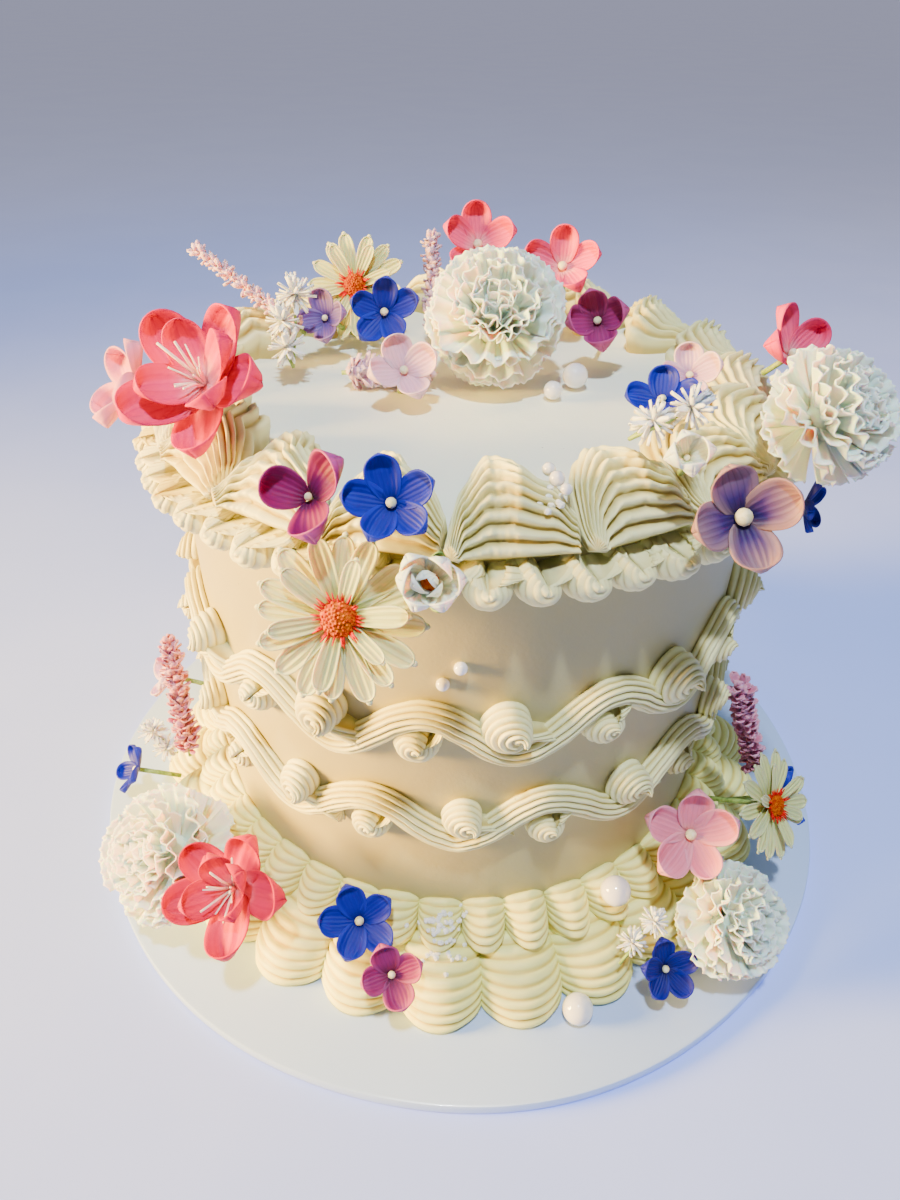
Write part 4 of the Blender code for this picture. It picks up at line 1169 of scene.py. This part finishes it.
def sprayFrame(root, tip):
    start = polar(root[0], root[1] * mm, root[2] * mm)
    end = polar(tip[0], tip[1] * mm, tip[2] * mm)
    look = (end - start).normalized()
    side = Vector((0, 0, 1)).cross(look).normalized()
    turn = Matrix((side, look.cross(side), look)).transposed().to_4x4()
    return Matrix.Translation(start) @ turn, (end - start).length


# stalk of many tiny florets, thinner towards its tip
def makeSprig(node, colour, root, tip, thick, florets=60, taper=0.5):
    place, length = sprayFrame(root, tip)
    radius = thick * mm / 2
    cup = petalMesh("floretShape", dict(floretPetal, length=radius * 0.72, width=radius * 0.62))
    seed = int(abs(root[0]))
    parts = [rodMesh("stalk", [Vector((0, 0, -2 * mm)), Vector((0, 0, 0.5 * length)),
                               Vector((0, 0, 0.98 * length))],
                     0.7 * mm, 0.5, 6, stemGreen)]
    bud = seedMesh("floretBud", radius * 0.26, 1.5)
    parts.append(growWhorl("innerPetals", bud, petalColours[colour], florets // 2, 0.3 * radius,
                           0.3 * radius * (1 - taper), lift=0.02 * length, drop=-0.97 * length, rise=40,
                           step=goldenTurn, jitter=0.3, size=(0.7, 1.2), seed=seed))
    for layer, (rise, share) in enumerate(((24, 1.0), (58, 0.85), (-8, 0.8))):
        parts.append(growWhorl("florets", cup, petalColours[colour], florets, 0.22 * radius,
                               0.2 * radius * (1 - taper), lift=0.02 * length, drop=-0.95 * length, rise=rise,
                               step=goldenTurn, turn=layer, jitter=0.45, size=(0.8 * share, 1.25 * share),
                               seed=seed + layer))
    for helper in (cup, bud):
        bpy.data.objects.remove(helper)
    plant(node, slotOf(node), parts, place, back=None)


puffPetal = {"neck": 0.5, "flare": 0.5, "blunt": 2.0, "cup": 0.3, "curl": 0.1, "rows": 3, "columns": 2,
             "thick": 0.2 * mm}


# loose balls of pointed white petals on thin bent stems
def makePuffs(node, root, tip, thick, balls):
    place, length = sprayFrame(root, tip)
    radius = thick * mm / 2
    petal = petalMesh("puffPetalShape", dict(puffPetal, length=radius * 0.95, width=radius * 0.34))
    seed = int(abs(root[0]))
    draw = random.Random(seed)
    parts = []
    for number in range(balls):
        share = (number + 0.5) / balls
        drift = Vector((draw.uniform(-1, 1), draw.uniform(-1, 1), 0)) * radius * 0.35
        middle = Vector((0, 0, length * share)) + drift
        petals = growWhorl("petals", petal, petalColours["white"], 44, 0.02 * radius, 0.05 * radius, rise=88,
                           riseOuter=-80, step=goldenTurn, jitter=0.25, size=(0.75, 1.1), seed=seed + number)
        petals.data.transform(Matrix.Translation(middle))
        parts.append(petals)
        bend = Vector((draw.uniform(-1, 1), draw.uniform(-1, 1), 0)) * 1.2 * mm
        parts.append(rodMesh("thinStem", [Vector((0, 0, -2.5 * mm)), middle * 0.5 + bend, middle], 0.45 * mm,
                             0.8, 6, stemGreen))
    bpy.data.objects.remove(petal)
    plant(node, slotOf(node), parts, place, back=None)


def dressTop():
    makeDaisy("top_daisy_front", (-16, 98, 140), (-6, 28), 39, outer=16)
    makeBlossom("top_blue_blossom_front", "blue", (-10, 92, 165), (0, 40), 19, spin=14)
    makeBlossom("top_magenta_blossom_front", "magenta", (-21, 91, 163), (-15, 40), 21, petals=3, cup=0.30,
                rise=18, wide=0.72, spin=35, heart=0.08)
    makeBud("top_white_bud_front", (-5, 97, 151), (2, 35), 15)
    makeBlossom("top_pale_pink_blossom_left", "palePink", (-74, 89, 160), (-70, 30), 26, cup=0.3)
    makeFreesia("top_pink_freesia_left", "pink", (-52, 77, 171), (-15, 45), 36)
    makeSprig("top_pink_sprig_left", "heather", (-109, 52, 162), (-114, 90, 180), 7, 50)
    makePuffs("top_white_puffs_left", (-95, 50, 158), (-102, 52, 178), 12, 3)
    makeSprig("top_lilac_sprig_low", "lilac", (-94, 34, 155), (-104, 12, 156.5), 11, 90)
    makeDaisy("top_daisy_back", (-139, 53, 168), (-10, 30), 34)
    makeBlossom("top_violet_blossom_back", "violet", (-120, 49, 163), (-20, 30), 16, petals=4)
    makeBlossom("top_blue_blossom_back", "blue", (-136, 36, 164.5), (0, 30), 21)
    makeBlossom("top_pale_pink_blossom_back", "dustyPink", (-62, 20, 160), (10, 45), 20, petals=4)
    makeSprig("top_lilac_sprig_back", "lilac", (-163, 35, 156), (-167, 52, 181), 8, 60)
    makeBlossom("top_coral_blossom_back", "hotPink", (177, 62, 175), (0, 40), 26, cup=0.3)
    makeBlossom("top_coral_blossom_back_right", "hotPink", (147, 54, 173), (-10, 40), 24, cup=0.3)
    makeBlossom("top_burgundy_blossom_back", "burgundy", (116, 42, 165), (-15, 35), 20, petals=4, cup=0.3,
                rise=24)
    makeCarnation("top_white_carnation_back", (137, 11, 168), (0, 45), 40)
    makeBlossom("top_lilac_blossom_right", "lilac", (60, 62, 168), (-20, 50), 16, petals=4)
    makeBlossom("top_hot_pink_blossom_right", "hotPink", (77, 84, 169), (40, 45), 24, cup=0.3)
    makeBlossom("top_blue_blossom_inner_right", "blue", (41, 66, 169.5), (-30, 65), 16, petals=4)
    makeBlossom("top_cream_blossom_right", "cream", (31, 86, 167), (-10, 45), 12, petals=4, cup=0.4, rise=35)
    makeBlossom("top_blue_blossom_right", "deepBlue", (55, 97, 146), (60, 5), 13)
    makeBlossom("top_mauve_pansy_right", "mauve", (34, 99, 158), (5, 30), 23, petals=4, cup=0.12, heart=0.17)
    makeCarnation("top_white_carnation_right", (57, 95, 166), (48, 38), 33)
    makePuffs("top_white_puffs_right", (27, 77, 170), (37, 81, 176), 11, 2)


def dressBase():
    makeSprig("base_rose_sprig_left", "rose", (-72, 95, 36), (-77, 95, 76), 10, 80)
    makeBlossom("base_lilac_blossom_left", "lilac", (-84, 99, 52), (-80, 25), 18, petals=4)
    makePuffs("base_white_puffs_left", (-77, 101, 30), (-76, 107, 43), 10, 2)
    makeBlossom("base_blue_blossom_left", "blue", (-77, 114, 23), (-70, 30), 18)
    makeCarnation("base_white_carnation_left", (-52, 109, 30), (-48, 42), 42)
    makeFreesia("base_pink_freesia_left", "coral", (-37, 106, 38), (-15, 45), 34)
    makeBlossom("base_blue_blossom_front", "blue", (-17.5, 95, 32), (0, 50), 22, spin=20)
    makeBlossom("base_burgundy_blossom_front", "burgundy", (-10.5, 104.5, 25.5), (0, 50), 18, petals=4)
    makeSprig("base_rose_sprig_right", "rose", (65, 101, 45), (57, 92, 86), 10, 80)
    makeBlossom("base_blue_blossom_right", "blue", (70, 112, 28), (75, 25), 20)
    makeDaisy("base_daisy_right", (60, 109, 41), (46, 32), 35)
    makeBlossom("base_pink_blossom_right", "palePink", (42, 97, 48), (-5, 42), 27, cup=0.25)
    makePuffs("base_white_puffs_right", (26, 105, 22), (33, 103, 35), 9, 2)
    makeBlossom("base_deep_blue_blossom_right", "deepBlue", (31.5, 111, 17), (15, 45), 18)
    makeCarnation("base_white_carnation_right", (43, 113, 24), (36, 38), 34)
    makeSprig("base_rose_sprig_back", "rose", (172, 94, 34), (167, 93, 74), 10, 80)
    makeDaisy("base_daisy_back", (-172, 104, 36), (-175, 35), 34)
    makeBlossom("base_pink_blossom_back", "pink", (146, 102, 32), (148, 45), 28, cup=0.3)
    makeBlossom("base_blue_blossom_back", "blue", (-156, 108, 26), (-158, 45), 20)
    makeCarnation("base_white_carnation_back", (164, 108, 28), (164, 42), 40)


# patches of clear sugar grains stuck to the piping: middle angle and height, spread of both, number
sugarSet = {"top_shell_border": (12.6, 164.0, 1.6, 2.4, 12), "base_bead_border": (-3.6, 26.0, 2.2, 3.2, 44),
            "base_shell_border": (-3.4, 17.0, 1.8, 2.6, 22)}


def makeSugar():
    for node, (middle, height, wide, tall, number) in sugarSet.items():
        words = node.split("_")
        name = words[0] + words[1].capitalize() + "Sugar"
        piped = bpy.data.objects[words[0] + words[1].capitalize() + "s"].data
        surface = BVHTree.FromPolygons([vertex.co.copy() for vertex in piped.vertices],
                                       [tuple(face.vertices) for face in piped.polygons])
        draw = random.Random(number)
        work = bmesh.new()
        for _ in range(number):
            angle, level = middle + draw.gauss(0, wide), height + draw.gauss(0, tall)
            start = polar(angle, 130 * mm, level * mm + 30 * mm)
            away = polar(angle, 60 * mm, level * mm - 20 * mm) - start
            spot = surface.ray_cast(start, away.normalized())[0]
            if spot is None:
                continue
            size = draw.uniform(0.6, 1.05) * mm
            bmesh.ops.create_icosphere(work, subdivisions=1, radius=size, matrix=Matrix.Translation(spot))
        mesh = bpy.data.meshes.new(name)
        work.to_mesh(mesh)
        work.free()
        mesh.materials.append(sugarGrain)
        finishPiece(linkObject(name, mesh), "pearl", node)


pearlSet = {
    "top_pearl_large": (98, 31, 154.0, 3.6), "top_pearl_small": (80, 24, 153.0, 2.6),
    "base_pearl_front": (18.0, 107.5, 8.8, 4.4), "base_pearl_right": (29.0, 91.5, 32.4, 4.4)}
loosePearls = {
    "wallPearls": ("cake_body", [(-1.2, 82.0, 116.6, 1.7), (-4.1, 82.0, 111.5, 1.7)]),
    "shellPearls": ("top_shell_border",
                    [(13.4, 76.6, 162.4, 1.7), (13.9, 80.7, 162.0, 1.3), (13.0, 72.6, 162.6, 1.5)])}


def makePearls():
    for node, (angle, radius, height, size) in pearlSet.items():
        name = node.split("_")[0] + "Pearl" + node.split("_")[2].capitalize()
        ball = ballMesh(name, size * mm, pearlCoat, polar(angle, radius * mm, height * mm), subdivisions=4)
        finishPiece(ball, "pearl", node)
    for name, (node, rows) in loosePearls.items():
        parts = [ballMesh(name, size * mm, pearlCoat, polar(a, r * mm, z * mm)) for a, r, z, size in rows]
        finishPiece(joinParts(name, parts), "pearl", node)


dressTop()
print("top blossoms are done")
dressBase()
print("base blossoms are done")
makePearls()
makeSugar()
print("pearls and sugar are done")


# camera where the photograph was taken, as a long side of 36 mm behind a 27 mm lens
cameraSet = {"place": (-4.4 * mm, -243 * mm, 251 * mm), "down": 35.5, "roll": 0.67, "lens": 27.0}


def makeCamera():
    lens = bpy.data.cameras.new("camera")
    lens.lens = cameraSet["lens"]
    lens.sensor_width = 36.0
    lens.sensor_fit = "AUTO"
    lens.clip_start = 0.01
    camera = linkObject("camera", lens)
    tilt = Matrix.Rotation(radians(90 - cameraSet["down"]), 4, "X")
    roll = Matrix.Rotation(radians(cameraSet["roll"]), 4, "Z")
    camera.matrix_world = Matrix.Translation(Vector(cameraSet["place"])) @ (tilt @ roll)
    bpy.context.scene.camera = camera


lightSet = [
    {"name": "ceiling", "place": (-0.05, -0.47, 1.28), "aim": (0, 0.05, 0.1), "size": 0.08, "spread": 115,
     "power": 8.0, "colour": (0.85, 0.93, 1.0)},
    {"name": "warmSide", "place": (-1.1, -0.22, 0.36), "aim": (0, 0, 0.09), "size": 0.45, "spread": 60,
     "power": 15.0, "colour": (1.0, 0.60, 0.12)},
    {"name": "coolSide", "place": (0.9, 0.3, 0.8), "aim": (0, 0, 0.09), "size": 0.9, "spread": 90,
     "power": 0.5, "colour": (0.60, 0.84, 1.0)}]
worldSet = {"colour": (0.76, 0.82, 1.0, 1.0), "strength": 0.20}


def makeLights():
    for row in lightSet:
        lamp = bpy.data.lights.new(row["name"], "AREA")
        lamp.shape = "DISK"
        lamp.size = row["size"]
        lamp.spread = radians(row["spread"])
        lamp.energy = row["power"]
        lamp.color = row["colour"]
        obj = linkObject(row["name"], lamp)
        place = Vector(row["place"])
        turn = (place - Vector(row["aim"])).to_track_quat("Z", "Y").to_matrix().to_4x4()
        obj.matrix_world = Matrix.Translation(place) @ turn
    world = bpy.data.worlds.new("studio")
    world.use_nodes = True
    background = world.node_tree.nodes["Background"]
    background.inputs["Color"].default_value = worldSet["colour"]
    background.inputs["Strength"].default_value = worldSet["strength"]
    bpy.context.scene.world = world


# the pale floor glows as painted light: a blue emission near the cake and a paler, weaker one further off
# stand in for light bouncing off the floor
floorSet = {"half": 20.0, "height": -0.0004, "dark": (0.38, 0.48, 0.97), "light": (0.41, 0.51, 1.0),
            "glow": (0.24, 0.37, 1.0), "farGlow": (0.90, 0.86, 1.0), "strength": 0.42, "farStrength": 0.27,
            "farFrom": 0.25, "farTo": 1.3}


def makeFloor():
    half = floorSet["half"]
    corners = [Vector((x, y, floorSet["height"]))
               for x, y in ((-half, -half), (half, -half), (half, half), (-half, half))]
    ground = linkObject("floor", meshFrom("floor", corners, [(0, 1, 2, 3)], smooth=False))
    finish = dyedFinish("paleFloor", floorSet["dark"], floorSet["light"], 0.4, 9.0, 0.02)
    tree = finish.node_tree
    shader = tree.nodes["Principled BSDF"]
    away = nodeFlow(tree, "ShaderNodeVectorMath", {0: objectPlace(tree)}, "Value", operation="LENGTH")
    far = ramp(tree, away, floorSet["farFrom"], floorSet["farTo"])
    glow = mixColour(tree, far, (*floorSet["glow"], 1.0), (*floorSet["farGlow"], 1.0))
    feed(tree, shader.inputs["Emission Color"], glow)
    gain = floorSet["farStrength"] - floorSet["strength"]
    feed(tree, shader.inputs["Emission Strength"], far * gain + floorSet["strength"])
    ground.data.materials.append(finish)


makeFloor()
makeLights()
makeCamera()
print("studio is ready")
